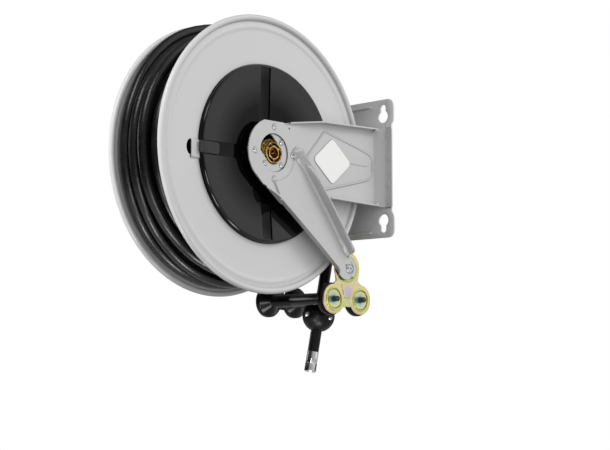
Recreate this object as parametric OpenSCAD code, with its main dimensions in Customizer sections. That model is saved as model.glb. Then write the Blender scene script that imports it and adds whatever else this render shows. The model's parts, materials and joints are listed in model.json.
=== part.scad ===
// Spring-rewind hose reel, wall mounted, open type.
// Two pressed side arms on a keyhole wall plate carry a fixed hollow axle.
// The drum, with its spring motor and its rotary joint, turns on that axle.
// A guide arm bolted to the hub holds the two-roller hose outlet.
// Millimetres. +X along the axle to the inlet side, +Y towards the wall, +Z up.
// The origin is on the wall, at the centre of the keyhole pattern.

/* [Drum] */
// Outer radius of the drum flanges, over the rolled rim
flange_r = 230; // [228:1:234]
// Half of the clear width between the two flange webs
half_w = 57.9; // [57.9:0.1:58.3]
// Sheet thickness of the drum flanges
flange_t = 1.6; // [1.2:0.1:1.6]
// Outer radius of the drum core that the first layer lies on
core_r = 138; // [136:1:138]
// Number of teeth on the ratchet ring, a multiple of twelve
teeth = 12; // [12]

/* [Hose] */
// Outside diameter of the hose
hose_d = 19.2; // [18:0.1:19.4]
// Outer radius of the full layers of hose
layers_r = 218; // [214:1:218]
// Outer radius of the hose where the last turns have run off
short_r = 198; // [195:1:198]

/* [Spring case] */
// Radius of the black centre cover
cover_r = 147.5; // [146:0.5:147.5]
// Distance of the cover's outer edge from the middle of the drum
cover_x = 68.85; // [68:0.05:69]
// Width of the four channels in the cover
channel_w = 22.6; // [20:0.2:24]

/* [Bracket] */
// Distance from the drum axis to the wall
reach = 265; // [265]
// Thickness of the side arms' sheet
arm_t = 2.5; // [2.5]
// Radius of the large round of each keyhole
key_r = 11; // [10:0.5:11.5]
// Radius of the narrow end of each keyhole
key_slot_r = 6; // [5:0.5:6.5]

/* [Outlet] */
// Half of the distance between the two roller axles
roller_gap = 33; // [31:1:34]
// Radius of the rollers' plain barrel
roller_r = 11; // [10:0.5:12]
// Radius of the roller pins
pin_r = 4.75; // [4:0.25:4.75]

/* [Hidden] */
$fn = 96;

web_o = half_w + flange_t;           // outer face of a flange web
arm_i = 74.5;                        // inner face of a side arm's web
arm_o = arm_i + arm_t;               // outer face of a side arm's web
head_x = arm_o + arm_t;              // outer face of the guide arm's head
raise_x = head_x + 3;                // outer face of the guide arm's raised web
guide_a = -45.6;                     // direction of the guide arm
wall_y = 262;                        // front face of the wall plate
axle_r = 15;
bush_r = 15.05;                      // running bore on the axle
bore_r = 9.3;                        // thread bore of the inlet
roll_y = 177;
roll_z = -233;
br_x = 75.1;                         // inner face of the roller bracket
tail_r = hose_d / 2;

// The free end of the hose, from the winding down through the rollers
tail = [[26, 206.5, -29], [25.6, 203, -55], [24.9, 198.5, -85], [23.8, 194, -115],
  [22.3, 190, -145], [20.6, 186, -174], [18, 182, -203], [15.4, 178, -232], [12.6, 174, -261],
  [10.3, 170, -290], [7.7, 165.6, -321]];
end_p = tail[len(tail) - 1];
dir0 = end_p - tail[len(tail) - 2];
end_d = dir0 / norm(dir0);

// ---------- helpers ----------
module at_axle() { translate([0, -reach, 0]) children(); }
// round bar or tube along X
module xcyl(r, x0, x1, fn = 96) { translate([x0, 0, 0]) rotate([0, 90, 0]) cylinder(r = r, h = x1 - x0, $fn = fn); }
module xtube(r0, r1, x0, x1) {
  difference() { xcyl(r1, x0, x1); xcyl(r0, x0 - 1, x1 + 1); }
}
// turned body about X from a (radius, x) outline
module xturn() { rotate([0, 90, 0]) rotate_extrude($fn = 96) children(); }
// sheet in the YZ plane, from x0 to x1
module yz(x0, x1) { translate([x0, 0, 0]) rotate([90, 0, 90]) linear_extrude(x1 - x0) children(); }
// sheet in the XZ plane, from y0 to y1
module xz(y0, y1) { translate([0, y1, 0]) rotate([90, 0, 0]) linear_extrude(y1 - y0) children(); }
module rrect(w, h, r) {
  square([w - 2 * r, h], center = true);
  square([w, h - 2 * r], center = true);
  for (i = [-1, 1], j = [-1, 1]) translate([i * (w / 2 - r), j * (h / 2 - r)]) circle(r);
}
module button_head(r, h) {
  // button head with a hexagon socket, standing on z = 0
  difference() {
    union() {
      cylinder(r = r, h = h * 0.35, $fn = 48);
      translate([0, 0, h * 0.35]) cylinder(r1 = r, r2 = r * 0.62, h = h * 0.65, $fn = 48);
    }
    translate([0, 0, h * 0.35]) cylinder(r = r * 0.36, h = h, $fn = 6);
  }
}

// ---------- wall bracket ----------
module key_hole(sx, sz) {
  translate([sx * 86.5, sz * 92]) circle(key_r);
  translate([sx * 86.5, sz * 107.5]) circle(key_slot_r);
  translate([sx * 86.5, sz * 99.75]) square([2 * key_slot_r, 15.5], center = true);
}
module rivet_places() { for (s = [-1, 1], p = [[99, 57], [99, 18], [99, -30], [99, -60]]) translate([s * p[0], 0, p[1]]) children(); }
module wall_plate() color("gray") at_axle() {
  difference() {
    xz(wall_y, 265) difference() {
      union() {
        rrect(211, 200, 5);
        for (s = [-1, 1]) translate([0, s * 98.75]) rrect(221, 47.5, 14);
      }
      for (i = [-1, 1], j = [-1, 1]) key_hole(i, j);
    }
    rivet_places() translate([0, 250, 0]) rotate([-90, 0, 0]) cylinder(r = 3, h = 20, $fn = 48);
    // the back of each pressed rib
    for (s = [-1, 1]) translate([0, 265.6, s * 112]) rotate([0, 90, 0]) cylinder(r = 2.2, h = 110, center = true, $fn = 48);
  }
  // pressed ribs above and below the arms
  for (s = [-1, 1]) difference() {
    translate([0, wall_y + 0.9, s * 112]) union() {
      rotate([0, 90, 0]) cylinder(r = 2.6, h = 112, center = true, $fn = 48);
      for (i = [-1, 1]) translate([i * 56, 0, 0]) sphere(r = 2.6, $fn = 48);
    }
    translate([-70, wall_y + 0.6, s * 112 - 5]) cube([140, 10, 10]);
  }
}
arm_edge = [[66, 59.3], [110, 65], [163, 66], [247.5, 68.85]];
module arm_outline() {
  polygon([[0, -50], [25, -52.5], [110, -63.8], [163, -64.8], [247.5, -67.65], [247.5, 67.65], [163, 64.8], [110, 63.8], [25, 52.5], [0, 50]]);
}
// lip along one edge of a sheet: outer edge points, sheet thickness, start and depth profile as (x, length) points
module lip_strip(edge, t) {
  polygon(concat(edge, [for (i = [len(edge) - 1:-1:0]) edge[i] - [0, t]]));
}
module side_arm(low_start) {
  difference() {
    union() {
      yz(arm_i, arm_o) { circle(54.5); arm_outline(); }
      // pressed diamond
      yz(arm_o - 0.5, arm_o + 1.1) polygon([[75, 0], [121, 50.6], [210, 29.7], [232, 24.3], [245, 15], [249.5, 6], [249.5, -6], [245, -15],
        [232, -24.3], [210, -29.7], [121, -50.6]]);
    }
    children();
  }
  // lips along the top and bottom edges
  lip(arm_edge, 66);
  mirror([0, 0, 1]) lip(low_start > 66 ? [[low_start, 65.26], [163, 66], [247.5, 68.85]] : arm_edge, low_start);
  // bend and wall flange
  difference() {
    translate([89, 247.5, 0]) cylinder(r = 14.5, h = 138, center = true);
    translate([89, 247.5, 0]) cylinder(r = 12, h = 150, center = true);
    translate([89, 225, -80]) cube([20, 45, 160]);
    translate([60, 225, -80]) cube([60, 22.5, 160]);
  }
  difference() {
    xz(259.5, wall_y) {
      translate([89, -69]) square([6, 138]);
      translate([100, 0]) rrect(16, 150, 4);
    }
    rivet_places() translate([0, 250, 0]) rotate([-90, 0, 0]) cylinder(r = 3, h = 20, $fn = 48);
  }
}
module lip(edge, y0) intersection() {
  yz(arm_i + 0.3, 100) lip_strip(edge, 2.5);
  translate([0, 0, 50]) linear_extrude(30) polygon([[60, y0 - 10], [60, 260], [90, 260], [90, y0 + 40], [79, y0 - 10]]);
}
module front_side_arm() color("silver") at_axle() side_arm(124) {
  // window round the inlet, open towards the upper left
  translate([60, 0, 0]) {
    xcyl(19, 0, 30);
    translate([0, -13, 13]) xcyl(19, 0, 30);
    translate([0, -6.5, 6.5]) rotate([45, 0, 0]) translate([0, -18.4, -8]) cube([30, 36.8, 16]);
  }
  for (a = [0, 90, 180, 270]) rotate([a, 0, 0]) translate([60, 43, 0]) xcyl(2.5, 0, 30, 32);
  for (a = [45, 225, 315]) rotate([a, 0, 0]) translate([60, 26.5, 0]) xcyl(2.5, 0, 30, 32);
  translate([60, 37, 43.5]) xcyl(2.5, 0, 30, 32);
}
module rear_side_arm() color("silver") at_axle() mirror([1, 0, 0]) side_arm(66) {
  xcyl(10, 60, 90);
  translate([60, 104, 0]) xcyl(4, 0, 30, 48);
}
module arm_rivets() color("silver") at_axle() rivet_places() {
  translate([0, 259.5, 0]) rotate([-90, 0, 0]) cylinder(r = 3, h = 5.5, $fn = 48);
  translate([0, 258.7, 0]) rotate([-90, 0, 0]) cylinder(r1 = 4, r2 = 4.6, h = 0.8, $fn = 48);
}
module blank_label() color("white") at_axle() yz(arm_o + 1.1, arm_o + 1.4) hull()
  for (p = [[34, 0], [-34, 0], [0, 28], [0, -28]]) translate([139 + p[0], p[1]]) circle(8, $fn = 32);

// ---------- guide arm ----------
guide_l = [[27, -51.9], [60, -47.3], [97, -41.5], [130, -36.5], [170, -30.8], [212, -25.5], [241, -22.6]];
guide_r = [[29, 46.5], [81, 37], [161, 27], [237, 18.3]];
module guide_arm() color("silver") at_axle() {
  difference() {
    union() {
      // flat head and the low shoulder beside it
      yz(arm_o, head_x) {
        circle(54.5);
        rotate(guide_a) polygon([[0, -54.4], [27, -53.4], [60, -48.9], [84, -45.2], [84, 35.2], [26, 45.6], [0, 44]]);
      }
      // raised web and the rounded tip
      difference() {
        yz(head_x - 0.4, raise_x) rotate(guide_a) {
          polygon([[28.6, -36.5], [60, -48.7], [97, -42.8], [130, -37.8], [170, -32.1], [212, -26.8], [238, -23.6], [250, -5], [240, 14.2], [236, 17], [161, 25.8], [81, 35.6], [40, 42.9], [32, 30]]);
          translate([247.5, -4]) circle(20.3);
        }
        xcyl(46, 60, 90);
      }
      // flanges
      rotate([guide_a, 0, 0]) {
        intersection() {
          yz(head_x - 0.3, 120) lip_strip(guide_l, 2.5);
          translate([0, 0, -60]) linear_extrude(60) polygon([[75, 27], [head_x + 0.5, 27.5], [head_x + 13, 56], [head_x + 13.5, 66], [head_x + 13, 100], [head_x + 13, 228], [head_x + 0.5, 239.5], [75, 239.8]]);
        }
        intersection() {
          yz(head_x - 0.3, 120) lip_strip(guide_r, 2.5);
          translate([0, 0, 0]) linear_extrude(60) polygon([[75, 29.4], [82, 29.6], [96.5, 35], [96.5, 57], [101.5, 126], [101.5, 226], [93, 233.5], [83, 236.6], [75, 236.8]]);
        }
      }
    }
    xcyl(32, 60, 90);
    for (a = [0, 90, 180, 270]) rotate([a, 0, 0]) translate([60, 43, 0]) {
      xcyl(2.5, 0, 30, 32);
      xcyl(5.4, head_x - 60, 30, 48);
    }
    translate([60, 177, -181]) xcyl(4, 0, 30, 48);
    translate([raise_x - 1, 169, -175]) xcyl(1.6, 0, 3, 32);
  }
}
module guide_arm_screws() color("silver") at_axle() for (a = [0, 90, 180, 270]) rotate([a, 0, 0]) translate([0, 43, 0]) {
  xcyl(2.5, 70, head_x, 32);
  translate([head_x, 0, 0]) rotate([0, 90, 0]) button_head(5, 2.9);
  // nut behind the side arm
  difference() { xcyl(4.6, 70.4, arm_i, 6); xcyl(2.5, 60, 80, 32); }
}
module roller_bracket_screw() color("silver") at_axle() translate([0, 177, -181]) {
  xcyl(4, 68, raise_x, 48);
  translate([raise_x, 0, 0]) rotate([0, 90, 0]) button_head(7.5, 4);
  difference() { xcyl(7.5, 68.6, br_x, 6); xcyl(4, 60, 80, 48); }
}
module roller_spacer() color("silver") at_axle() translate([0, 177, -181]) xtube(4, 13, br_x + 3, head_x - 0.4);

// ---------- rotary joint and axle ----------
module swivel_body() color("goldenrod") at_axle() {
  difference() {
    union() {
      xcyl(23.6, 58, 70);
      xcyl(14, 56, 58);
      // three-lobed flange behind the side arm
      for (a = [45, 225, 315]) rotate([a, 0, 0]) {
        translate([70, 0, -8]) cube([arm_i - 70, 26.5, 16]);
        translate([70, 26.5, 0]) xcyl(8, 0, arm_i - 70);
      }
      xcyl(20, 69.9, arm_i);
      xcyl(18, 70, 79);
    }
    // annular pocket with three ribs
    difference() {
      xtube(0.1, 16, 71, 90);
      xcyl(12.9, 70, 91, 6);
      for (a = [-90, 32, 152]) rotate([a, 0, 0]) translate([70, 0, -1.6]) cube([9, 17, 3.2]);
    }
    xcyl(bore_r, 58.5, 80);
    xcyl(6, 50, 60);
    for (a = [45, 225, 315]) rotate([a, 0, 0]) translate([60, 26.5, 0]) xcyl(2.5, 0, 30, 32);
  }
}
module swivel_screws() color("silver") at_axle() for (a = [45, 225, 315]) rotate([a, 0, 0]) translate([0, 26.5, 0]) {
  xcyl(2.5, 67, arm_o, 32);
  translate([arm_o, 0, 0]) rotate([0, 90, 0]) button_head(4.6, 2.7);
}
module main_axle() color("silver") at_axle() difference() {
  union() { xcyl(axle_r, -arm_i, 56); xcyl(10, -98, -arm_i + 1); }
  xcyl(6, -16, 57);
  translate([-10, 0, 0]) cylinder(r = 5, h = 18, $fn = 48);
  translate([-96.5, 0, 0]) xcyl(3, -4, 0, 32);
}
module axle_washer() color("silver") at_axle() xtube(10, 19, -arm_o - 2.5, -arm_o);
module axle_nut() color("silver") at_axle() difference() {
  xcyl(17.3, -arm_o - 2.5 - 13, -arm_o - 2.5, 6);
  xcyl(10, -110, -70);
}
module spring_arbor() color("dimgray") at_axle() difference() {
  xcyl(26, 25, 54);
  xcyl(axle_r, 20, 60);
  translate([20, 14, -1.5]) cube([40, 14, 3]);
}

// ---------- ratchet ----------
pawl_p = [104, 0];
module pawl_pivot() color("silver") at_axle() translate([0, pawl_p[0], pawl_p[1]]) {
  xcyl(4, -arm_o - 1.1, -61.2, 48);
  xcyl(6.5, -arm_o - 3.1, -arm_o - 1.1, 48);
  xcyl(6, -62.4, -61.2, 48);
}
module ratchet_pawl() color("dimgray") at_axle() translate([0, pawl_p[0], pawl_p[1]]) difference() {
  yz(-67, -62.6) union() {
    circle(9);
    rotate(180 - 43) polygon([[0, -8], [28, -5.5], [41, -1], [41, 4], [30, 6.5], [0, 8]]);
    rotate(-13) translate([9, 0]) square([18, 5], center = true);
  }
  xcyl(4.05, -70, -60, 48);
}
module pawl_spring() color("silver") at_axle() translate([0, pawl_p[0], pawl_p[1]]) {
  for (i = [0:2]) translate([-69 - i * 1.4, 0, 0]) rotate([0, 90, 0]) rotate_extrude($fn = 48) translate([6.2, 0]) circle(0.75, $fn = 24);
  translate([-69, 6.2, 0]) cylinder(r = 0.7, h = 22, $fn = 24);
  translate([-71.8, -6.2, -16]) cylinder(r = 0.7, h = 16, $fn = 24);
  translate([-arm_i, -6.2, -15.3]) xcyl(0.7, 0, arm_i - 71.8, 24);
}
module ratchet_ring() color("dimgray") at_axle() difference() {
  yz(-66.6, -62.2) difference() {
    circle(73);
    for (i = [0:teeth - 1]) rotate(12.5 + i * 360 / teeth) polygon([[65, -7], [65, 7], [76, 8.5], [76, -8.5]]);
    circle(56);
    for (i = [0:5]) rotate(i * 60) translate([60.5, 0]) circle(2.5, $fn = 32);
  }
}

// ---------- drum ----------
module rim_profile() {
  // (radius, x) with the web's outer face at x = web_o
  translate([flange_r - 5, web_o + 0.5]) circle(5, $fn = 48);
  intersection() {
    translate([flange_r - 19, web_o - 3.5]) circle(5.5, $fn = 48);
    translate([flange_r - 26, half_w]) square([14, 8]);
  }
}
module flange_ring(r0) {
  xturn() difference() {
    union() {
      rim_profile();
      translate([r0, half_w]) square([flange_r - 6 - r0, flange_t]);
      // short rim turned back over the hose
      translate([flange_r - 7.6, web_o - 6]) square([1.6, 6]);
    }
  }
}
module front_flange() color("silver") at_axle() difference() {
  union() {
    flange_ring(cover_r + 0.4);
    // lanced bridge at the cover's clip
    translate([web_o - 0.1, -164, -14.5]) cube([2.9, 19, 21.8]);
  }
  translate([web_o - 0.1, -166, -12.5]) cube([1.6, 14, 17.8]);
  xcyl(cover_r + 0.4, 50, 75);
}
module rear_flange() color("silver") at_axle() mirror([1, 0, 0]) difference() {
  union() {
    flange_ring(40);
    // pressed ring that stiffens the disc
    xturn() intersection() {
      translate([118, web_o - 5.5]) circle(7, $fn = 48);
      translate([100, web_o - 1]) square([40, 8]);
    }
  }
  for (i = [0:5]) rotate([i * 60, 0, 0]) translate([50, 50, 0]) xcyl(3, 0, 20, 32);
}
module drum_core() color("dimgray") at_axle() difference() {
  xturn() translate([core_r - 2, -half_w]) square([2, 2 * half_w - flange_t]);
  // slot where the hose goes in
  translate([-24, -22, core_r - 8]) cube([28, 44, 20]);
}
module spring_case_back() color("dimgray") at_axle() difference() {
  xturn() {
    translate([20, 20]) square([111, 2]);
    translate([129, 20]) square([2, half_w - 20]);
    translate([129, half_w - 1.6]) square([29, 1.6]);
    translate([18, 12]) square([7, 10]);
  }
}
function arc_pts(cx, cy, r, a0, a1, n) = [for (i = [0:n]) [cx + r * cos(a0 + (a1 - a0) * i / n), cy + r * sin(a0 + (a1 - a0) * i / n)]];
cone = tan(3);
flat_r = cover_r - 4.85;
function face_x(r) = cover_x - (flat_r - r) * cone;
module spring_case_cover() color("dimgray") at_axle() difference() {
  union() {
    xturn() {
      // dished face, rounded shoulder and side wall
      difference() {
        union() {
          polygon([[27, face_x(60)], [60, face_x(60)], [flat_r, cover_x], [flat_r, cover_x - 2.5], [60, face_x(60) - 2.5], [27, face_x(60) - 2.5]]);
          translate([flat_r, cover_x - 4.85]) circle(4.85, $fn = 48);
          translate([flat_r, half_w]) square([4.85, cover_x - 4.85 - half_w]);
        }
        translate([flat_r, cover_x - 4.85]) circle(2.35, $fn = 48);
        translate([flat_r - 20, half_w - 1]) square([22.35, cover_x - 4.85 - half_w + 1]);
        polygon([[flat_r - 9, 50], [flat_r - 9, face_x(flat_r - 9) - 2.5], [flat_r, cover_x - 2.5], [flat_r, 50]]);
      }
      translate([27, 60.5]) square([2.5, face_x(60) - 61]);
    }
    // floors of the channels
    intersection() {
      cover_bars(channel_w + 5, 50, 80);
      xturn() polygon([[40, face_x(60) - 7.5], [60, face_x(60) - 7.5], [flat_r + 1, cover_x - 7.6], [flat_r + 1, cover_x - 1], [60, face_x(60) - 1], [40, face_x(60) - 1]]);
    }
    intersection() {
      difference() {
        xcyl(flat_r + 1, half_w + 1.9, 68);
        xcyl(50, 50, 80);
      }
      difference() {
        cover_bars(channel_w + 5, half_w + 1.9, 67.6);
        cover_bars(channel_w, 50, 80);
      }
      xturn() polygon([[40, 50], [40, face_x(60) - 1], [60, face_x(60) - 1], [flat_r + 1, cover_x - 1], [flat_r + 1, 50]]);
    }
  }
  // the channels stop at the rim, but for the one at the clip
  intersection() {
    cover_bars(channel_w, 50, 80);
    union() {
      xturn() polygon([[48, 80], [48, face_x(60) - 5], [60, face_x(60) - 5], [flat_r - 0.5, 63.7], [flat_r - 0.5, 80]]);
      translate([64, -170, -20]) cube([20, 30, 40]);
    }
  }
  xcyl(27, 50, 80);
}
module cover_bars(w, x0, x1) {
  translate([0, -6.5, -2.5]) rotate([1, 0, 0]) {
    translate([x0, -w / 2, -150]) cube([x1 - x0, w, 300]);
    translate([x0, -155, -w / 2]) cube([x1 - x0, 310, w]);
  }
}
module cover_clip() color("black") at_axle() {
  difference() {
    yz(64, 66.2) {
      translate([-136.5, -4.6]) square([22, 20], center = true);
      translate([-125, -4.6]) rrect(22, 20, 4);
    }
    for (p = [[-121, 2], [-121, -11], [-134, 2], [-134, -11]]) translate([60, p[0], p[1]]) xcyl(1.4, 0, 10, 24);
  }
}
module clip_rivets() color("dimgray") at_axle() for (p = [[-121, 2], [-121, -11], [-134, 2], [-134, -11]]) translate([0, p[0], p[1]]) {
  xcyl(1.4, 64, 66.2, 24);
  xcyl(2, 66.2, 66.9, 24);
}
// flat spiral of spring strip
function spiral(r0, pitch, turns, n) = [for (i = [0:n]) let (a = 360 * turns * i / n, r = r0 + pitch * turns * i / n) [r * cos(a), r * sin(a)]];
module power_spring() color("slategray") at_axle() yz(26, 52) {
  o = spiral(57.1, 9, 8, 176);
  n = len(o);
  i_ = [for (k = [0:n - 1]) let (p = o[n - 1 - k], r = norm(p)) p * (r - 2.4) / r];
  polygon(concat(o, i_));
}
module case_bush() color("tan") at_axle() {
  difference() { xcyl(18, 11, 23); xcyl(bush_r, 0, 40); }
}
module rear_hub() color("dimgray") at_axle() difference() {
  union() {
    xcyl(58, -62.2, -web_o);
    xcyl(39.9, -web_o, -half_w);
    xcyl(26, -half_w, -44);
    // seat of the ratchet ring
    xturn() translate([56.5, -62.2]) square([16, 62.2 - web_o]);
  }
  xcyl(18, -70, -40);
  for (i = [0:5]) rotate([i * 60, 0, 0]) {
    translate([-70, 50, 0]) xcyl(3, 0, 30, 32);
    translate([-70, 60.5, 0]) xcyl(2.5, 0, 30, 32);
  }
}
module rear_bush() color("tan") at_axle() difference() {
  union() { xcyl(18, -62.2, -44); xcyl(23, -64.2, -62.2); }
  xcyl(bush_r, -70, -40);
}
module rear_hub_screws() color("silver") at_axle() for (i = [0:5]) rotate([i * 60, 0, 0]) {
  translate([0, 50, 0]) {
    xcyl(3, -62.2, -54, 32);
    translate([-62.2, 0, 0]) rotate([0, -90, 0]) button_head(4.8, 2.6);
  }
  translate([0, 60.5, 0]) {
    xcyl(2.5, -66.6, -web_o, 32);
    translate([-66.6, 0, 0]) rotate([0, -90, 0]) button_head(4, 2);
  }
}
module swivel_rotor() color("goldenrod") at_axle() difference() {
  union() {
    xcyl(26, -26, 6);
    rotate([15, 0, 0]) translate([-10, 0, 0]) cylinder(r = 10, h = 32, $fn = 48);
  }
  xcyl(bush_r, -30, 20);
  xcyl(19, -15, -5);
  for (x = [-20.6, 0.6]) xtube(14, 18.2, x - 1.8, x + 1.8);
  rotate([15, 0, 0]) translate([-10, 0, 0]) cylinder(r = 5, h = 40, $fn = 48);
}
module rotor_seals() color("black") at_axle() for (x = [-20.6, 0.6])
  xturn() translate([16.64, x]) circle(1.57, $fn = 24);
module delivery_pipe() color("silver") at_axle() rotate([15, 0, 0]) translate([-10, 0, 32]) difference() {
  cylinder(r = 7.5, h = 76, $fn = 48);
  translate([0, 0, -1]) cylinder(r = 5, h = 90, $fn = 48);
}
module outlet_elbow() color("goldenrod") at_axle() rotate([15, 0, 0]) translate([-10, 0, 108]) difference() {
  union() {
    cylinder(r = 11, h = 18, $fn = 48);
    translate([0, 0, 9]) rotate([90, 0, 0]) cylinder(r = 8.5, h = 30, $fn = 48);
    translate([0, -16, 9]) rotate([90, 0, 0]) cylinder(r = 12, h = 9, $fn = 6);
  }
  translate([0, 0, -1]) cylinder(r = 5, h = 10, $fn = 48);
  translate([0, 0, 9]) rotate([90, 0, 0]) cylinder(r = 5, h = 40, $fn = 48);
}
module hose_winding() color("black") at_axle() xturn() {
  translate([core_r, -half_w + 0.5]) square([layers_r - core_r, half_w + 11.5]);
  translate([core_r, 11.9]) square([short_r - core_r, half_w - 13.7]);
}

// ---------- outlet rollers ----------
module roller_places() { for (s = [-1, 1]) translate([0, roll_y + s * roller_gap, roll_z]) children(); }
module roller_bracket() color("khaki") at_axle() difference() {
  union() {
    yz(br_x, br_x + 3) {
      translate([177, -181]) circle(30.5);
      polygon([[147.5, -184], [150.5, -203], [203.5, -203], [206.5, -184]]);
      polygon([[144, -206], [150, -202], [204, -202], [210, -206], [200, -246], [154, -246]]);
      for (s = [-1, 1]) translate([roll_y + s * roller_gap, roll_z]) circle(25.4);
    }
    // pressed rings round the pins and the pad between them
    translate([br_x + 2.9, 0, 0]) {
      roller_places() xtube(16.5, 19.5, 0, 1.3);
      yz(0, 1.3) polygon([[162, -208], [192, -208], [184.5, -231], [169.5, -231]]);
    }
  }
  translate([60, 177, -181]) xcyl(4, 0, 30, 48);
  roller_places() xcyl(pin_r, 60, 100, 48);
}
module roller_pins() color("black") at_axle() roller_places() {
  xcyl(pin_r, -94, 87.5, 48);
  xtube(pin_r, 8, 73.4, br_x);
  xtube(pin_r, 8, -88.4, -86.2);
}
module roller_end_plate() color("khaki") at_axle() difference() {
  yz(-91.4, -88.4) {
    for (s = [-1, 1]) translate([roll_y + s * roller_gap, roll_z]) circle(17);
    translate([roll_y, roll_z]) square([2 * roller_gap, 26], center = true);
    translate([roll_y, roll_z + 14]) circle(14);
  }
  roller_places() xcyl(pin_r, -110, -80, 48);
}
module roller_clips() color("silver") at_axle() roller_places() {
  xtube(pin_r, 8.5, -92.6, -91.4);
}
module roller() difference() {
  union() {
    xcyl(roller_r, -66, 64);
    // rounded disc at the bracket
    xcyl(27, 64.5, 71.5);
    translate([71.5, 0, 0]) rotate([0, 90, 0]) cylinder(r1 = 27, r2 = 25.4, h = 1.6);
    translate([62, 0, 0]) rotate([0, 90, 0]) cylinder(r1 = roller_r + 1, r2 = 27, h = 2.5);
    // flared far end
    translate([-80.5, 0, 0]) rotate([0, 90, 0]) cylinder(r1 = 27, r2 = roller_r, h = 18.5);
    xcyl(27, -84, -80.5);
    translate([-85.5, 0, 0]) rotate([0, 90, 0]) cylinder(r1 = 25.5, r2 = 27, h = 1.5);
  }
  xcyl(pin_r + 0.06, -100, 100, 48);
}
module outer_roller() color("black") at_axle() translate([0, roll_y - roller_gap, roll_z]) roller();
module inner_roller() color("black") at_axle() translate([0, roll_y + roller_gap, roll_z]) roller();

// ---------- free end of the hose ----------
function unit(v) = v / norm(v);
function tangent(p, i) = unit(p[min(i + 1, len(p) - 1)] - p[max(i - 1, 0)]);
function ring_pts(c, t, r, n) = let (s = unit(cross(t, [0, 1, 0])), u = cross(t, s))
  [for (k = [0:n - 1]) c + r * cos(360 * k / n) * s + r * sin(360 * k / n) * u];
module sweep(p, r, n) {
  m = len(p);
  pts = [for (i = [0:m - 1]) each ring_pts(p[i], tangent(p, i), r, n)];
  sides = [for (i = [0:m - 2], k = [0:n - 1]) [i * n + k, (i + 1) * n + k, (i + 1) * n + (k + 1) % n, i * n + (k + 1) % n]];
  polyhedron(points = pts, faces = concat(sides, [[for (k = [0:n - 1]) k]], [[for (k = [n - 1:-1:0]) (m - 1) * n + k]]));
}
// frame at a point of the hose, z along it towards its end
module along(p, d) { translate(p) rotate([0, acos(d[2]), atan2(d[1], d[0])]) children(); }
module hose_tail() color("black") at_axle() sweep(tail, tail_r, 12);
stop_p = tail[8];
stop_d = unit(tail[9] - tail[7]);
module stop_half(s) {
  along(stop_p, stop_d) rotate([0, 0, stop_turn]) difference() {
    rotate_extrude() difference() {
      union() {
        intersection() {
          translate([0, -1.5]) circle(28);
          translate([0, -19]) square([30, 42.5]);
        }
      }
      translate([-1, -40]) square([tail_r + 1.1, 80]);
    }
    translate([-40, s > 0 ? -39.9 : -0.1, -40]) cube([80, 40, 80]);
    for (i = [-1, 1]) translate([i * 20, 0, 0]) rotate([90, 0, 0]) {
      cylinder(r = 2, h = 60, center = true, $fn = 32);
      translate([0, 0, 13]) cylinder(r = 4.6, h = 20, $fn = 48);
      translate([0, 0, -33]) cylinder(r = 4.6, h = 20, $fn = 48);
    }
  }
}
stop_turn = 12;
module hose_stop_front() color("black") at_axle() stop_half(-1);
module hose_stop_back() color("black") at_axle() stop_half(1);
module hose_stop_screws() color("silver") at_axle() along(stop_p, stop_d) rotate([0, 0, stop_turn])
  for (i = [-1, 1]) translate([i * 20, 0, 0]) rotate([90, 0, 0]) {
    translate([0, 0, -13]) cylinder(r = 2, h = 26, $fn = 32);
    translate([0, 0, 13]) button_head(4, 3);
    translate([0, 0, -16]) cylinder(r = 4, h = 3, $fn = 6);
  }
module hose_ferrule() color("silver") at_axle() along(end_p, end_d) difference() {
  union() {
    cylinder(r = 9.9, h = 17);
    translate([0, 0, 17]) cylinder(r = 8.2, h = 3);
  }
  translate([0, 0, -1]) cylinder(r = 5, h = 30, $fn = 48);
}
module hose_end_socket() color("silver") at_axle() along(end_p, end_d) difference() {
  union() {
    translate([0, 0, 20]) cylinder(r = 10.4, h = 14, $fn = 6);
    translate([0, 0, 34]) cylinder(r1 = 9, r2 = 8.4, h = 1.5);
  }
  translate([0, 0, 22]) cylinder(r = 7.475, h = 20);
  translate([0, 0, 10]) cylinder(r = 5, h = 30, $fn = 48);
}

wall_plate();
front_side_arm();
rear_side_arm();
arm_rivets();
guide_arm();
guide_arm_screws();
swivel_body();
swivel_screws();
main_axle();
axle_washer();
axle_nut();
spring_arbor();
roller_bracket();
roller_spacer();
roller_bracket_screw();
roller_pins();
roller_end_plate();
roller_clips();
blank_label();
pawl_pivot();
pawl_spring();
ratchet_pawl();
front_flange();
rear_flange();
drum_core();
spring_case_back();
spring_case_cover();
cover_clip();
clip_rivets();
power_spring();
case_bush();
rear_hub();
rear_bush();
rear_hub_screws();
ratchet_ring();
swivel_rotor();
rotor_seals();
delivery_pipe();
outlet_elbow();
hose_winding();
outer_roller();
inner_roller();
hose_tail();
hose_stop_front();
hose_stop_back();
hose_stop_screws();
hose_ferrule();
hose_end_socket();
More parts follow.
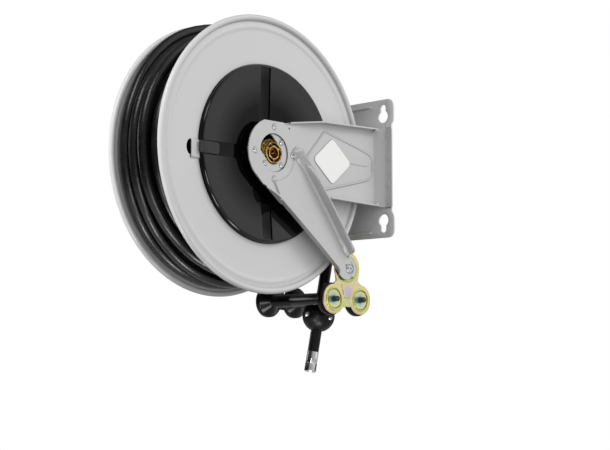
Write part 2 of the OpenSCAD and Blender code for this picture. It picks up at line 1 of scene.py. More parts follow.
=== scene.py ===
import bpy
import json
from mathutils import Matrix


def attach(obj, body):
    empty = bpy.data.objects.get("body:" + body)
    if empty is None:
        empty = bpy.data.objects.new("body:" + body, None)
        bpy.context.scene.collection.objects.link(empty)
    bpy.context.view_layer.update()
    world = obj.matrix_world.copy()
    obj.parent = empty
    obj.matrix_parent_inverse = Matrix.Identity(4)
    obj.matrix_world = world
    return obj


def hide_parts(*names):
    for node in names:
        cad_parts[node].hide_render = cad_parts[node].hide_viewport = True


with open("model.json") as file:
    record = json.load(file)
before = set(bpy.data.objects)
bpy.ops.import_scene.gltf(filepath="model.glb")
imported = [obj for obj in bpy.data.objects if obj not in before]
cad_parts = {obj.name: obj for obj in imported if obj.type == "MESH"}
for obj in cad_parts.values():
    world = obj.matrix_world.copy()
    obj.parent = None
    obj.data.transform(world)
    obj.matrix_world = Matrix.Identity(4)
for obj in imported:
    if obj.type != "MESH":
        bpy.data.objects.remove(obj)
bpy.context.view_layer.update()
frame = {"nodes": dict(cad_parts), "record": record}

import json
import math
import bpy
import bmesh
from mathutils import Matrix, Vector, noise

NODES = frame["nodes"]
scene = bpy.context.scene
AXLE_Y = -0.265                      # the drum's axis is at this Y and at Z = 0


def P(x, y, z):
    """Drum-centred millimetres to the row frame in metres."""
    return Vector((x / 1000.0, y / 1000.0 + AXLE_Y, z / 1000.0))


def smooth01(t):
    t = min(1.0, max(0.0, t))
    return t * t * (3 - 2 * t)


def lerp(a, b, t):
    return a + (b - a) * t


# ---------------------------------------------------------------- camera
cam = bpy.data.cameras.new("photo_camera")
cam.lens = 85.18
cam.sensor_width = 36.0
cam.clip_start = 0.05
cam.clip_end = 60
cam_obj = bpy.data.objects.new("photo_camera", cam)
scene.collection.objects.link(cam_obj)
az, el = math.radians(44.233), math.radians(-5.802)
back = Vector((math.sin(az) * math.cos(el), -math.cos(az) * math.cos(el), math.sin(el)))
cam_obj.location = (1.7421, -1.9008, -0.3556)
cam_obj.rotation_euler = back.to_track_quat("Z", "Y").to_euler()
scene.camera = cam_obj


# ---------------------------------------------------------------- mesh helpers
def new_object(name, verts, faces, angle=35):
    me = bpy.data.meshes.new(name)
    me.from_pydata([tuple(v) for v in verts], [], faces)
    me.validate()
    bm = bmesh.new()
    bm.from_mesh(me)
    bmesh.ops.remove_doubles(bm, verts=bm.verts, dist=1e-6)
    bmesh.ops.recalc_face_normals(bm, faces=bm.faces)
    bm.to_mesh(me)
    bm.free()
    shade(me, angle)
    ob = bpy.data.objects.new(name, me)
    scene.collection.objects.link(ob)
    return ob


def shade(me, angle=35):
    me.polygons.foreach_set("use_smooth", [True] * len(me.polygons))
    me.set_sharp_from_angle(angle=math.radians(angle))
    me.update()


def apply_modifiers(ob, angle=35):
    dg = bpy.context.evaluated_depsgraph_get()
    me = bpy.data.meshes.new_from_object(ob.evaluated_get(dg))
    ob.modifiers.clear()
    ob.data = me
    shade(me, angle)
    return ob


def catmull(points, step):
    """A smooth line through the points, with a point about every step."""
    pts = [Vector(p) for p in points]
    out = []
    for i in range(len(pts) - 1):
        p0, p1, p2 = pts[max(i - 1, 0)], pts[i], pts[i + 1]
        p3 = pts[min(i + 2, len(pts) - 1)]
        n = max(2, int((p2 - p1).length / step))
        for k in range(n):
            t = k / n
            out.append(0.5 * ((2 * p1) + (p2 - p0) * t + (2 * p0 - 5 * p1 + 4 * p2 - p3) * t * t
                              + (3 * p1 - p0 - 3 * p2 + p3) * t * t * t))
    out.append(pts[-1])
    return out


def tube_data(path, radius, n=20, closed=False, caps=True):
    """Vertices and faces of a round tube along the path."""
    m = len(path)
    tang = []
    for i in range(m):
        a = path[(i - 1) % m] if closed else path[max(i - 1, 0)]
        b = path[(i + 1) % m] if closed else path[min(i + 1, m - 1)]
        tang.append((b - a).normalized())
    ref = Vector((1, 0, 0)) if abs(tang[0].x) < 0.9 else Vector((0, 0, 1))
    side = tang[0].cross(ref).normalized()
    verts, faces = [], []
    for i in range(m):
        side = (side - tang[i] * side.dot(tang[i])).normalized()
        up = tang[i].cross(side)
        for k in range(n):
            a = 2 * math.pi * k / n
            verts.append(path[i] + radius * (math.cos(a) * side + math.sin(a) * up))
    last = m if closed else m - 1
    if closed:
        # undo the twist that the moving frame has gathered over the loop
        first = verts[0] - path[0]
        end_side = (side - tang[0] * side.dot(tang[0])).normalized()
        twist = math.atan2(first.normalized().cross(end_side).dot(tang[0]), first.normalized().dot(end_side))
        shift = int(round(twist / (2 * math.pi / n)))
    else:
        shift = 0
    for i in range(last):
        j = (i + 1) % m
        s = -shift if (closed and j == 0) else 0
        for k in range(n):
            faces.append((i * n + k, i * n + (k + 1) % n, j * n + (k + 1 + s) % n, j * n + (k + s) % n))
    if caps and not closed:
        faces.append(tuple(reversed(range(n))))
        faces.append(tuple((m - 1) * n + k for k in range(n)))
    return verts, faces


def join_data(parts):
    verts, faces = [], []
    for v, f in parts:
        o = len(verts)
        verts += v
        faces += [tuple(i + o for i in q) for q in f]
    return verts, faces


def revolve(name, profile, n=192, angle=35, centre=(0, 0)):
    """A closed outline of (radius, x) points in millimetres turned about the X axis at (y, z) = centre."""
    verts, faces = [], []
    m = len(profile)
    for i in range(n):
        a = 2 * math.pi * i / n
        for r, x in profile:
            verts.append(P(x, centre[0] + r * math.cos(a), centre[1] + r * math.sin(a)))
    for i in range(n):
        j = (i + 1) % n
        for k in range(m):
            l = (k + 1) % m
            faces.append((i * m + k, i * m + l, j * m + l, j * m + k))
    return new_object(name, verts, faces, angle)


def arc(cx, cy, r, a0, a1, n):
    return [(cx + r * math.cos(math.radians(lerp(a0, a1, k / n))), cy + r * math.sin(math.radians(lerp(a0, a1, k / n))))
            for k in range(n + 1)]


# ---------------------------------------------------------------- materials
def material(name):
    mat = bpy.data.materials.new(name)
    mat.use_nodes = True
    nt = mat.node_tree
    bsdf = nt.nodes["Principled BSDF"]
    coord = nt.nodes.new("ShaderNodeTexCoord")
    return mat, nt, bsdf, coord.outputs["Object"]


def tex_noise(nt, vec, scale, detail=2.0, rough=0.5, stretch=None):
    if stretch:
        mp = nt.nodes.new("ShaderNodeMapping")
        mp.inputs["Scale"].default_value = stretch
        nt.links.new(vec, mp.inputs["Vector"])
        vec = mp.outputs["Vector"]
    n = nt.nodes.new("ShaderNodeTexNoise")
    n.inputs["Scale"].default_value = scale
    n.inputs["Detail"].default_value = detail
    n.inputs["Roughness"].default_value = rough
    nt.links.new(vec, n.inputs["Vector"])
    return n.outputs["Fac"]


def map_range(nt, fac, lo, hi, a, b):
    m = nt.nodes.new("ShaderNodeMapRange")
    m.inputs["From Min"].default_value = lo
    m.inputs["From Max"].default_value = hi
    m.inputs["To Min"].default_value = a
    m.inputs["To Max"].default_value = b
    nt.links.new(fac, m.inputs["Value"])
    return m.outputs["Result"]


def ramp(nt, fac, stops):
    r = nt.nodes.new("ShaderNodeValToRGB")
    els = r.color_ramp.elements
    while len(els) < len(stops):
        els.new(0.5)
    for e, (pos, col) in zip(els, stops):
        e.position = pos
        e.color = (col[0], col[1], col[2], 1)
    nt.links.new(fac, r.inputs["Fac"])
    return r.outputs["Color"]


def mix_color(nt, fac, a, b, mode="MIX"):
    m = nt.nodes.new("ShaderNodeMix")
    m.data_type = "RGBA"
    m.blend_type = mode
    for sock, val in ((m.inputs[0], fac), (m.inputs[6], a), (m.inputs[7], b)):
        if hasattr(val, "links"):
            nt.links.new(val, sock)
        elif isinstance(val, (int, float)):
            sock.default_value = val
        else:
            sock.default_value = (val[0], val[1], val[2], 1)
    return m.outputs[2]


def bump(nt, bsdf, height, distance, strength=1.0, normal=None):
    b = nt.nodes.new("ShaderNodeBump")
    b.inputs["Strength"].default_value = strength
    b.inputs["Distance"].default_value = distance
    nt.links.new(height, b.inputs["Height"])
    if normal is not None:
        nt.links.new(normal, b.inputs["Normal"])
    nt.links.new(b.outputs["Normal"], bsdf.inputs["Normal"])
    return b.outputs["Normal"]


def edge_mask(nt, radius, gain):
    """1 on convex and concave edges within the radius, 0 on flat ground."""
    bev = nt.nodes.new("ShaderNodeBevel")
    bev.samples = 4
    bev.inputs["Radius"].default_value = radius
    geo = nt.nodes.new("ShaderNodeNewGeometry")
    dot = nt.nodes.new("ShaderNodeVectorMath")
    dot.operation = "DOT_PRODUCT"
    nt.links.new(bev.outputs["Normal"], dot.inputs[0])
    nt.links.new(geo.outputs["Normal"], dot.inputs[1])
    return map_range(nt, dot.outputs["Value"], 1.0, 1.0 - gain, 0.0, 1.0)


def paint(name, colour, rough=0.32, vary=0.012, peel=0.00001, spec=0.5, wear=None, painted_cavity_shade=0.0):
    mat, nt, bsdf, vec = material(name)
    c = Vector(colour)
    big = tex_noise(nt, vec, 9, 3)
    fine = tex_noise(nt, vec, 420, 2)
    tone = mix_color(nt, map_range(nt, big, 0.3, 0.7, 0, 1), tuple(c * (1 - vary)), tuple(c * (1 + vary)))
    speck = mix_color(nt, map_range(nt, fine, 0.25, 0.8, 0, 1), tuple([0.97] * 3), tuple([1.02] * 3))
    tone = mix_color(nt, 1.0, tone, speck, "MULTIPLY")
    if painted_cavity_shade:
        # painted shade: the colour darkens towards black in creases and corners, where ambient occlusion finds other
        # surfaces close by
        ao = nt.nodes.new("ShaderNodeAmbientOcclusion")
        ao.samples = 8
        ao.inputs["Distance"].default_value = 0.0026
        tone = mix_color(nt, map_range(nt, ao.outputs["AO"], 0.50, 0.93, painted_cavity_shade, 0.0), tone, tuple(c * 0.12))
    if wear:
        rub = tex_noise(nt, vec, 160, 3)
        edge = edge_mask(nt, 0.0009, 0.25)
        both = nt.nodes.new("ShaderNodeMath")
        both.operation = "MULTIPLY"
        nt.links.new(edge, both.inputs[0])
        nt.links.new(map_range(nt, rub, 0.45, 0.75, 0, 0.6), both.inputs[1])
        tone = mix_color(nt, both.outputs[0], tone, wear)
    nt.links.new(tone, bsdf.inputs["Base Color"])
    nt.links.new(map_range(nt, tex_noise(nt, vec, 35, 3), 0.3, 0.7, rough * 0.96, rough * 1.05), bsdf.inputs["Roughness"])
    bsdf.inputs["Specular IOR Level"].default_value = spec
    bump(nt, bsdf, tex_noise(nt, vec, 650, 2), peel)
    return mat


def metal(name, colour, rough, vary=0.06, scratch=0.00001, stretch=(1, 1, 1), grain=300, tint=None, painted_cavity_shade=None):
    mat, nt, bsdf, vec = material(name)
    c = Vector(colour)
    base = mix_color(nt, map_range(nt, tex_noise(nt, vec, 60, 4), 0.3, 0.7, 0, 1), tuple(c * (1 - vary)), tuple(c * (1 + vary)))
    if tint:
        base = mix_color(nt, map_range(nt, tex_noise(nt, vec, 22, 2), 0.4, 0.65, 0, 0.55), base, tint)
    if painted_cavity_shade:
        # painted shade: the colour goes towards the given dark colour in hollows and corners, where ambient occlusion
        # finds other surfaces close by
        ao = nt.nodes.new("ShaderNodeAmbientOcclusion")
        ao.samples = 8
        ao.inputs["Distance"].default_value = 0.007
        base = mix_color(nt, map_range(nt, ao.outputs["AO"], 0.22, 0.66, 0.97, 0.0), base, painted_cavity_shade)
    nt.links.new(base, bsdf.inputs["Base Color"])
    bsdf.inputs["Metallic"].default_value = 1.0
    g = tex_noise(nt, vec, grain, 3, 0.6, stretch)
    nt.links.new(map_range(nt, g, 0.25, 0.75, rough * 0.8, rough * 1.25), bsdf.inputs["Roughness"])
    bump(nt, bsdf, g, scratch)
    return mat


def zinc_yellow(name):
    """Yellow passivation: its colour drifts with the distance from edges and pins. Dark rings in the ramps and
    darkening in hollows are painted shade.
    """
    mat, nt, bsdf, vec = material(name)

    def away(y, z):
        sub = nt.nodes.new("ShaderNodeVectorMath")
        sub.operation = "SUBTRACT"
        nt.links.new(vec, sub.inputs[0])
        sub.inputs[1].default_value = (0, y, z)
        flat = nt.nodes.new("ShaderNodeVectorMath")
        flat.operation = "MULTIPLY"
        nt.links.new(sub.outputs["Vector"], flat.inputs[0])
        flat.inputs[1].default_value = (0, 1, 1)
        ln = nt.nodes.new("ShaderNodeVectorMath")
        ln.operation = "LENGTH"
        nt.links.new(flat.outputs["Vector"], ln.inputs[0])
        return ln.outputs["Value"]

    def calc(op, a, b):
        m = nt.nodes.new("ShaderNodeMath")
        m.operation = op
        for i, v in enumerate((a, b)):
            if isinstance(v, (int, float)):
                m.inputs[i].default_value = v
            else:
                nt.links.new(v, m.inputs[i])
        return m.outputs[0]

    wob = calc("MULTIPLY", calc("SUBTRACT", tex_noise(nt, vec, 48, 2.0, 0.5), 0.5), 0.006)
    near_pin = calc("ADD", calc("MINIMUM", away(-0.121, -0.233), away(-0.055, -0.233)), wob)
    # painted shade: the dark stops in these ramps are rings of shade along the pressed edges round the pins and the
    # upper circle
    lobe = ramp(nt, map_range(nt, near_pin, 0.0, 0.030, 0, 1),
                [(0.16, (0.34, 0.54, 0.56)), (0.36, (0.52, 0.66, 0.56)), (0.47, (0.84, 0.76, 0.14)), (0.55, (0.24, 0.22, 0.09)), (0.60, (0.50, 0.62, 0.42)), (0.73, (0.80, 0.72, 0.18)), (0.83, (0.80, 0.46, 0.42)), (0.90, (0.74, 0.70, 0.26)), (1.0, (0.52, 0.66, 0.42))])
    top = ramp(nt, map_range(nt, calc("ADD", away(-0.088, -0.181), wob), 0.0, 0.034, 0, 1),
               [(0.40, (0.54, 0.68, 0.40)), (0.56, (0.78, 0.76, 0.18)), (0.66, (0.40, 0.44, 0.18)), (0.74, (0.62, 0.70, 0.36)), (0.88, (0.84, 0.58, 0.30)), (1.0, (0.62, 0.68, 0.36))])
    col = mix_color(nt, map_range(nt, near_pin, 0.0235, 0.0275, 0, 1), lobe, top)
    pad = map_range(nt, calc("ADD", away(-0.088, -0.2185), wob), 0.0075, 0.0125, 1, 0)
    col = mix_color(nt, pad, col, (0.62, 0.50, 0.60))
    # painted shade: the colour goes dark brown in hollows and corners, where ambient occlusion finds other surfaces
    # close by
    ao = nt.nodes.new("ShaderNodeAmbientOcclusion")
    ao.samples = 6
    ao.inputs["Distance"].default_value = 0.004
    col = mix_color(nt, map_range(nt, ao.outputs["AO"], 0.42, 0.80, 0.95, 0.0), col, (0.05, 0.035, 0.015))
    nt.links.new(col, bsdf.inputs["Base Color"])
    bsdf.inputs["Metallic"].default_value = 0.8
    nt.links.new(map_range(nt, tex_noise(nt, vec, 260, 3), 0.3, 0.7, 0.26, 0.34), bsdf.inputs["Roughness"])
    bump(nt, bsdf, tex_noise(nt, vec, 500, 3), 0.00001)
    return mat


def gloss_black(name):
    mat, nt, bsdf, vec = material(name)
    dust = tex_noise(nt, vec, 700, 2)
    bsdf.inputs["Roughness"].default_value = 0.05
    nt.links.new(mix_color(nt, map_range(nt, dust, 0.62, 0.8, 0, 0.5), (0.0015, 0.0015, 0.0015), (0.006, 0.006, 0.006)), bsdf.inputs["Base Color"])
    nt.links.new(map_range(nt, tex_noise(nt, vec, 14, 3), 0.3, 0.7, 0.035, 0.075), bsdf.inputs["Roughness"])
    # painted shade: the specular is lowered on the rounded shoulder below the face, so the shoulder reflects less and
    # reads black as if it faced dark surroundings
    split = nt.nodes.new("ShaderNodeSeparateXYZ")
    nt.links.new(vec, split.inputs[0])
    nt.links.new(map_range(nt, split.outputs["X"], 0.0655, 0.0678, 0.14, 0.5), bsdf.inputs["Specular IOR Level"])
    bump(nt, bsdf, tex_noise(nt, vec, 18, 1), 0.00002)
    return mat


def plastic_black(name, base=0.012, rough=0.34, texture=0.00003, grain=900, spec=0.5):
    mat, nt, bsdf, vec = material(name)
    nt.links.new(mix_color(nt, map_range(nt, tex_noise(nt, vec, 40, 4), 0.35, 0.7, 0, 1), (base * 0.8,) * 3, (base * 1.5,) * 3), bsdf.inputs["Base Color"])
    nt.links.new(map_range(nt, tex_noise(nt, vec, 120, 2), 0.3, 0.7, rough * 0.96, rough * 1.06), bsdf.inputs["Roughness"])
    bsdf.inputs["Specular IOR Level"].default_value = spec
    bump(nt, bsdf, tex_noise(nt, vec, grain, 2), texture)
    return mat


def rubber(name, spec=0.5):
    mat, nt, bsdf, vec = material(name)
    fine = tex_noise(nt, vec, 1500, 2)
    streak = tex_noise(nt, vec, 30, 4, 0.6)
    col = mix_color(nt, map_range(nt, streak, 0.35, 0.72, 0, 1), (0.003, 0.003, 0.003), (0.010, 0.010, 0.010))
    nt.links.new(col, bsdf.inputs["Base Color"])
    nt.links.new(map_range(nt, tex_noise(nt, vec, 260, 4, 0.6), 0.3, 0.7, 0.15, 0.30), bsdf.inputs["Roughness"])
    bsdf.inputs["Specular IOR Level"].default_value = spec
    bump(nt, bsdf, fine, 0.00011)
    return mat


M = {
    "sheet_grey": paint("drum_grey_paint", (0.50, 0.50, 0.50), rough=0.26, painted_cavity_shade=0.95),
    "bracket_grey": paint("bracket_grey_paint", (0.50, 0.50, 0.50), rough=0.30, wear=(0.66, 0.66, 0.66), painted_cavity_shade=0.95),
    # painted light: the flanges get a lighter copy of the sheet paint, standing in for extra light they catch
    "flange_grey_painted_light": paint("flange_grey_paint", (0.56, 0.56, 0.56), rough=0.26, painted_cavity_shade=0.95),
    # painted light: the wall plate, painted like the brackets, gets a much lighter copy of their paint to make up for
    # the shade the drum casts on it
    "plate_grey_painted_light": paint("plate_grey_paint", (0.73, 0.73, 0.73), rough=0.30, painted_cavity_shade=0.9),
    "black_gloss": gloss_black("gloss_black_cover"),
    "black_plastic": plastic_black("moulded_black", base=0.005, rough=0.28),
    "black_rubber": rubber("hose_rubber", spec=0.46),
    "tail_rubber_dimmed_reflection": rubber("hose_tail_rubber", spec=0.16),
    # painted shade: the hose tail is the same rubber as the winding with its specular lowered, so it reflects as if its
    # surroundings were darker
    "zinc_yellow": zinc_yellow("yellow_zinc"),
    "zinc_bright": metal("bright_zinc", (0.66, 0.67, 0.68), 0.28),
    "chrome_bright": metal("chrome_plate", (0.78, 0.78, 0.79), 0.09, vary=0.02, scratch=0.000004),
    "brass": metal("turned_brass", (0.76, 0.50, 0.17), 0.22, tint=(0.52, 0.31, 0.09), painted_cavity_shade=(0.008, 0.003, 0.001)),
    "steel_dark": metal("dark_steel", (0.22, 0.22, 0.23), 0.38),
    "black_steel": paint("black_coated_steel", (0.02, 0.02, 0.021), rough=0.3),
    "bush_tan": paint("acetal_bush", (0.62, 0.56, 0.42), rough=0.4),
    "roller_black": plastic_black("roller_black", base=0.002, rough=0.2, texture=0.000004, grain=500, spec=0.22),
    "ball_black": plastic_black("ball_black", base=0.002, rough=0.33, texture=0.000004, grain=700, spec=0.24),
    "label_white": paint("label_film", (0.80, 0.80, 0.79), rough=0.35, vary=0.01, peel=0.00001),
}


# paints that have no slot of their own in the record
SLOT_NAME = {"plate_grey_painted_light": "bracket_grey", "flange_grey_painted_light": "sheet_grey", "tail_rubber_dimmed_reflection": "black_rubber", "roller_black": "black_plastic", "ball_black": "black_plastic"}


def finish_with(ob, slot):
    ob.data.materials.clear()
    ob.data.materials.append(M[slot])
    SLOT_NAME.get(slot, slot)


slots = {s["node"]: s["material_slot"] for s in frame["record"]["subparts"]}
for node_name, node_obj in NODES.items():
    for ms in node_obj.material_slots:
        ms.material = M[slots[node_name]]
    if not node_obj.material_slots:
        node_obj.data.materials.append(M[slots[node_name]])


def add(ob, body, slot, *replaced):
    finish_with(ob, slot)
    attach(ob, body)
    if replaced:
        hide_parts(*replaced)
    return ob


# ---------------------------------------------------------------- piece builders
def table(points, t):
    """Straight-line interpolation in a list of (t, value)."""
    if t <= points[0][0]:
        return points[0][1]
    for (t0, v0), (t1, v1) in zip(points, points[1:]):
        if t <= t1:
            return lerp(v0, v1, (t - t0) / (t1 - t0))
    return points[-1][1]


def sheet(name, rows, place, thick, cuts=(), bevel=0.45, angle=35, even=True):
    """A bent sheet: rows of viewer-side points, thickened away from the viewer, cut and edge-rounded."""
    n = len(rows[0])
    verts = [place(*q) for row in rows for q in row]
    faces = []
    for i in range(len(rows) - 1):
        for k in range(n - 1):
            faces.append((i * n + k, i * n + k + 1, (i + 1) * n + k + 1, (i + 1) * n + k))
    me = bpy.data.meshes.new(name)
    me.from_pydata([tuple(v) for v in verts], [], faces)
    bm = bmesh.new()
    bm.from_mesh(me)
    bmesh.ops.remove_doubles(bm, verts=bm.verts, dist=2e-5)
    bmesh.ops.dissolve_degenerate(bm, edges=bm.edges, dist=1e-6)
    bm.normal_update()
    if sum(f.normal.x * f.calc_area() for f in bm.faces) < 0:
        bmesh.ops.reverse_faces(bm, faces=bm.faces)
    bm.to_mesh(me)
    bm.free()
    ob = bpy.data.objects.new(name, me)
    scene.collection.objects.link(ob)
    so = ob.modifiers.new("thick", "SOLIDIFY")
    so.thickness = thick / 1000
    so.offset = -1
    so.use_even_offset = even
    apply_modifiers(ob, angle)
    for cutter in cuts:
        cut(ob, cutter)
    round_edges(ob, bevel, angle=angle)
    return ob


def cut(ob, cutter, mode="DIFFERENCE"):
    m = ob.modifiers.new("cut", "BOOLEAN")
    m.operation = mode
    m.object = cutter
    m.solver = "EXACT"
    apply_modifiers(ob)
    bpy.data.objects.remove(cutter, do_unlink=True)
    return ob


def round_edges(ob, width, segments=2, limit=40, angle=35):
    if width:
        bv = ob.modifiers.new("edges", "BEVEL")
        bv.width = width / 1000
        bv.segments = segments
        bv.limit_method = "ANGLE"
        bv.angle_limit = math.radians(limit)
        bv.use_clamp_overlap = True
        bv.miter_outer = "MITER_ARC"
        wn_mod = ob.modifiers.new("flat faces stay flat", "WEIGHTED_NORMAL")
        wn_mod.weight = 100
        wn_mod.keep_sharp = True
        apply_modifiers(ob, angle)
    return ob


def bar(name, r, x0, x1, centre=(0, 0), n=64, r1=None):
    """A plain round bar along X at (y, z) = centre."""
    r1 = r if r1 is None else r1
    verts, faces = [], []
    for i in range(n):
        a = 2 * math.pi * i / n
        verts.append(P(x0, centre[0] + r * math.cos(a), centre[1] + r * math.sin(a)))
        verts.append(P(x1, centre[0] + r1 * math.cos(a), centre[1] + r1 * math.sin(a)))
    for i in range(n):
        j = (i + 1) % n
        faces.append((2 * i, 2 * j, 2 * j + 1, 2 * i + 1))
    faces.append(tuple(2 * i for i in reversed(range(n))))
    faces.append(tuple(2 * i + 1 for i in range(n)))
    return new_object(name, verts, faces)


def prism(name, outline, x0, x1):
    """A (y, z) outline made solid from x0 to x1."""
    n = len(outline)
    verts = [P(x0, y, z) for y, z in outline] + [P(x1, y, z) for y, z in outline]
    faces = [(i, (i + 1) % n, n + (i + 1) % n, n + i) for i in range(n)]
    faces += [tuple(reversed(range(n))), tuple(range(n, 2 * n))]
    return new_object(name, verts, faces)


def refined(node, name, width, segments=2, limit=35, angle=35):
    """The node's own shape again, with clean faces and rounded edges."""
    src = NODES[node]
    me = src.data.copy()
    me.transform(src.matrix_world)
    bm = bmesh.new()
    bm.from_mesh(me)
    bmesh.ops.remove_doubles(bm, verts=bm.verts, dist=2e-6)
    if node != "wall_plate":
        # the plate keeps its triangles: its one big face has four holes and steps in its outline
        bmesh.ops.dissolve_limit(bm, angle_limit=math.radians(0.6), verts=bm.verts, edges=bm.edges)
    bmesh.ops.recalc_face_normals(bm, faces=bm.faces)
    bm.to_mesh(me)
    bm.free()
    me.materials.clear()
    ob = bpy.data.objects.new(name, me)
    scene.collection.objects.link(ob)
    return round_edges(ob, width, segments, limit, angle)


# ---------------------------------------------------------------- guide arm
GA = math.radians(-45.6)


def guide_place(u, w, x):
    return P(x, u * math.cos(GA) - w * math.sin(GA), u * math.sin(GA) + w * math.cos(GA))


HEAD_R, HEAD_X, WEB_X = 54.5, 79.6, 82.6
HEAD_U, HEAD_W, HEAD_OUT = -1.2, -1.2, 55.9
LEFT = [(-20, -56.4), (0, -56.0), (28, -54.2), (60, -49.8), (97, -44), (130, -39), (170, -33.3), (212, -28.2), (238, -25.2), (247.5, -24.3)]
RIGHT = [(26, 47), (81, 37), (161, 27), (236, 18.2), (239.5, 15.8), (247.5, 16.2)]
LEFT_TOP = [(22, 0), (27, 0.8), (34, 5), (44, 10.5), (53, 13.3), (56.4, 13.6), (58, 5.5), (59.4, 5.5), (61.0, 13.4), (100, 13.2), (226, 13), (235, 10), (242, 4), (247, 0)]
RIGHT_TOP = [(24, 0), (25.2, 6), (27.5, 12.5), (30.5, 16), (34, 16.5), (57, 18), (80, 21.5), (126, 23), (225, 22), (229, 20.6), (232.5, 16), (235, 9), (237, 0)]
STEP_EDGE = [(24, 34), (30, 28), (45, 29.2), (60, 29.7), (75, 28.2), (90, 26.7), (110, 24.3), (130, 22.2), (150, 19.7), (170, 17.2), (185, 15.2), (200, 12.7), (212, 11.2), (225, 9.8), (236, 10.6), (247, 11)]
TIP_U, TIP_W, TIP_R = 247.5, -4.0, 20.3


def guide_extent(u):
    a = HEAD_OUT ** 2 - (u - HEAD_U) ** 2
    half = math.sqrt(a) if a > 0 else 0.0
    lo, hi = HEAD_W - half, HEAD_W + half
    if u > -14:
        lo = lerp(lo, table(LEFT, u), smooth01((u + 14) / 20))
    if u < 6:
        # the head is flat along the top
        hi = max(lo + 0.5, min(hi, (52.2 + 0.7145 * u) / 0.6997))
    if u > 18:
        hi = lerp(hi, table(RIGHT, u), smooth01((u - 18) / 10))
    if u > TIP_U:
        b = math.sqrt(max(0.0, TIP_R ** 2 - (u - TIP_U) ** 2))
        lo, hi = TIP_W - b, TIP_W + b
    return lo, hi


def guide_height(u, w):
    rho = math.hypot(u, w)
    hub = smooth01((rho - 45.5) / 1.7)
    left = smooth01((((u - 28.6) * 11 + (w + 32.2) * 36.9) / 38.5 + 0.8) / 1.7)
    right = smooth01((((u - 30) * 13 - (w - 31) * 12) / 17.7 + 0.8) / 1.7)
    up = 3.0 * hub * left * right if u > 0 else 0.0
    if u > 234:
        # a low ledge runs on round the right side of the tip
        d = math.hypot(u - TIP_U, w + 5.0) if u > TIP_U else w + 5.0
        up += 1.5 * smooth01((d - 15.9) / 0.9) * smooth01((w + 9) / 6) * smooth01((u - 234) / 3)
    return HEAD_X + up


def edge_profile(side, edge, inner, top, base, r, straight=3, steps=6):
    """Points from the free edge of a flange down its bend to the web, as (w, x)."""
    h = max(0.0, top - base)
    if h >= r:
        ph = math.pi / 2
    else:
        ph = math.acos(1 - h / r) if h > 0 else 0.0
    s = math.sin(ph)
    shift = inner * (1 - s)
    out = []
    for k in range(straight):
        f = k / straight
        out.append((edge + side * (inner - shift), lerp(top, base + min(h, r * (1 - math.cos(ph))), f)))
    for k in range(steps + 1):
        a = ph * (1 - k / steps)
        out.append((edge + side * (inner + r - r * math.sin(a) - shift), base + r * (1 - math.cos(a))))
    return out


def step_profile(u, hi, top, base, inner):
    """The right flange: a steep first rise from the web, a narrow ledge, then the flange proper."""
    h = max(0.0, top - base)
    k = smooth01(h / 9.0)
    ws = table(STEP_EDGE, u) if h > 0 else hi - 1.2
    ws = min(ws, hi - 4)
    ledge = lerp(0.9, 0.25, smooth01((u - 45) / 60))
    e = (hi - inner * smooth01(h / 3.0), base + h)
    rise = min(3.0, (hi - ws) * 0.4)
    b = (ws + rise + ledge, base + min(h, 5.2 * k))
    c = (ws + rise, base + min(h, 5.0 * k))
    d = (ws, base)
    out = [(lerp(e[0], b[0], t), lerp(e[1], b[1], t ** 1.5)) for t in (0, 0.3, 0.6, 0.85, 1)]
    out += [(lerp(c[0], d[0], t), lerp(c[1], d[1], t)) for t in (0, 0.35, 0.7, 0.94)]
    out.append((d[0] - 0.4, base))
    return out


def guide_rows():
    us = [HEAD_U - HEAD_OUT * math.cos(math.pi / 2 * k / 34) for k in range(34)]
    us += [-1.0, 0.0] + [1.2 * k for k in range(1, 14)] + [16.5 + 0.6 * k for k in range(32)] + [36 + 1.0 * k for k in range(18)]
    us += [54 + 0.5 * k for k in range(18)] + [63 + 1.0 * k for k in range(160)] + [223 + 0.7 * k for k in range(35)]
    us += [TIP_U + TIP_R * math.sin(math.pi / 2 * k / 24) for k in range(1, 25)]
    rows = []
    for u in us:
        lo, hi = guide_extent(u)
        if hi - lo < 0.02:
            hi = lo + 0.02
        tl = HEAD_X + table(LEFT_TOP, u)
        tr = HEAD_X + table(RIGHT_TOP, u)
        rl = min(1.6, (hi - lo) / 4)
        bl, br = guide_height(u, lo + 4), guide_height(u, min(hi - 2, table(STEP_EDGE, u) if u > 20 else hi))
        inner = min(2.5, (hi - lo) / 8)
        left = edge_profile(1, lo, inner, max(tl, bl), bl, rl)
        right = step_profile(u, hi, max(tr, br), br, inner) if hi - lo > 8 else [(hi - (hi - lo) * 0.02 * i, br) for i in range(10)]
        w0, w1 = left[-1][0], right[-1][0]
        row = [(u, w, x) for w, x in left]
        for k in range(1, 104):
            w = lerp(w0, w1, k / 104)
            f = smooth01(min(k, 104 - k) / 2.0)
            h = guide_height(u, w)
            row.append((u, w, lerp(bl if k < 52 else br, h, f)))
        row += [(u, w, x) for w, x in reversed(right)]
        rows.append(row)
    return rows


guide = sheet("guide_arm_pressing", guide_rows(), guide_place, 2.45,
              even=False, cuts=[bar("hub_hole", 32, 60, 95, n=96), bar("locator", 1.5, 60, 95, (169, -175), n=24)], bevel=0.4)
add(guide, "bracket", "sheet_grey", "guide_arm")

# ---------------------------------------------------------------- side arms
ARM_X, ARM_BEND = 77.0, 245.0
# the bend to the wall flange: a first turn, a slanting stretch, then a second turn on to the wall plate
TURN_1, SLANT, TURN_2, TURN_ANGLE = 3.5, 16.7, 6.0, 0.95


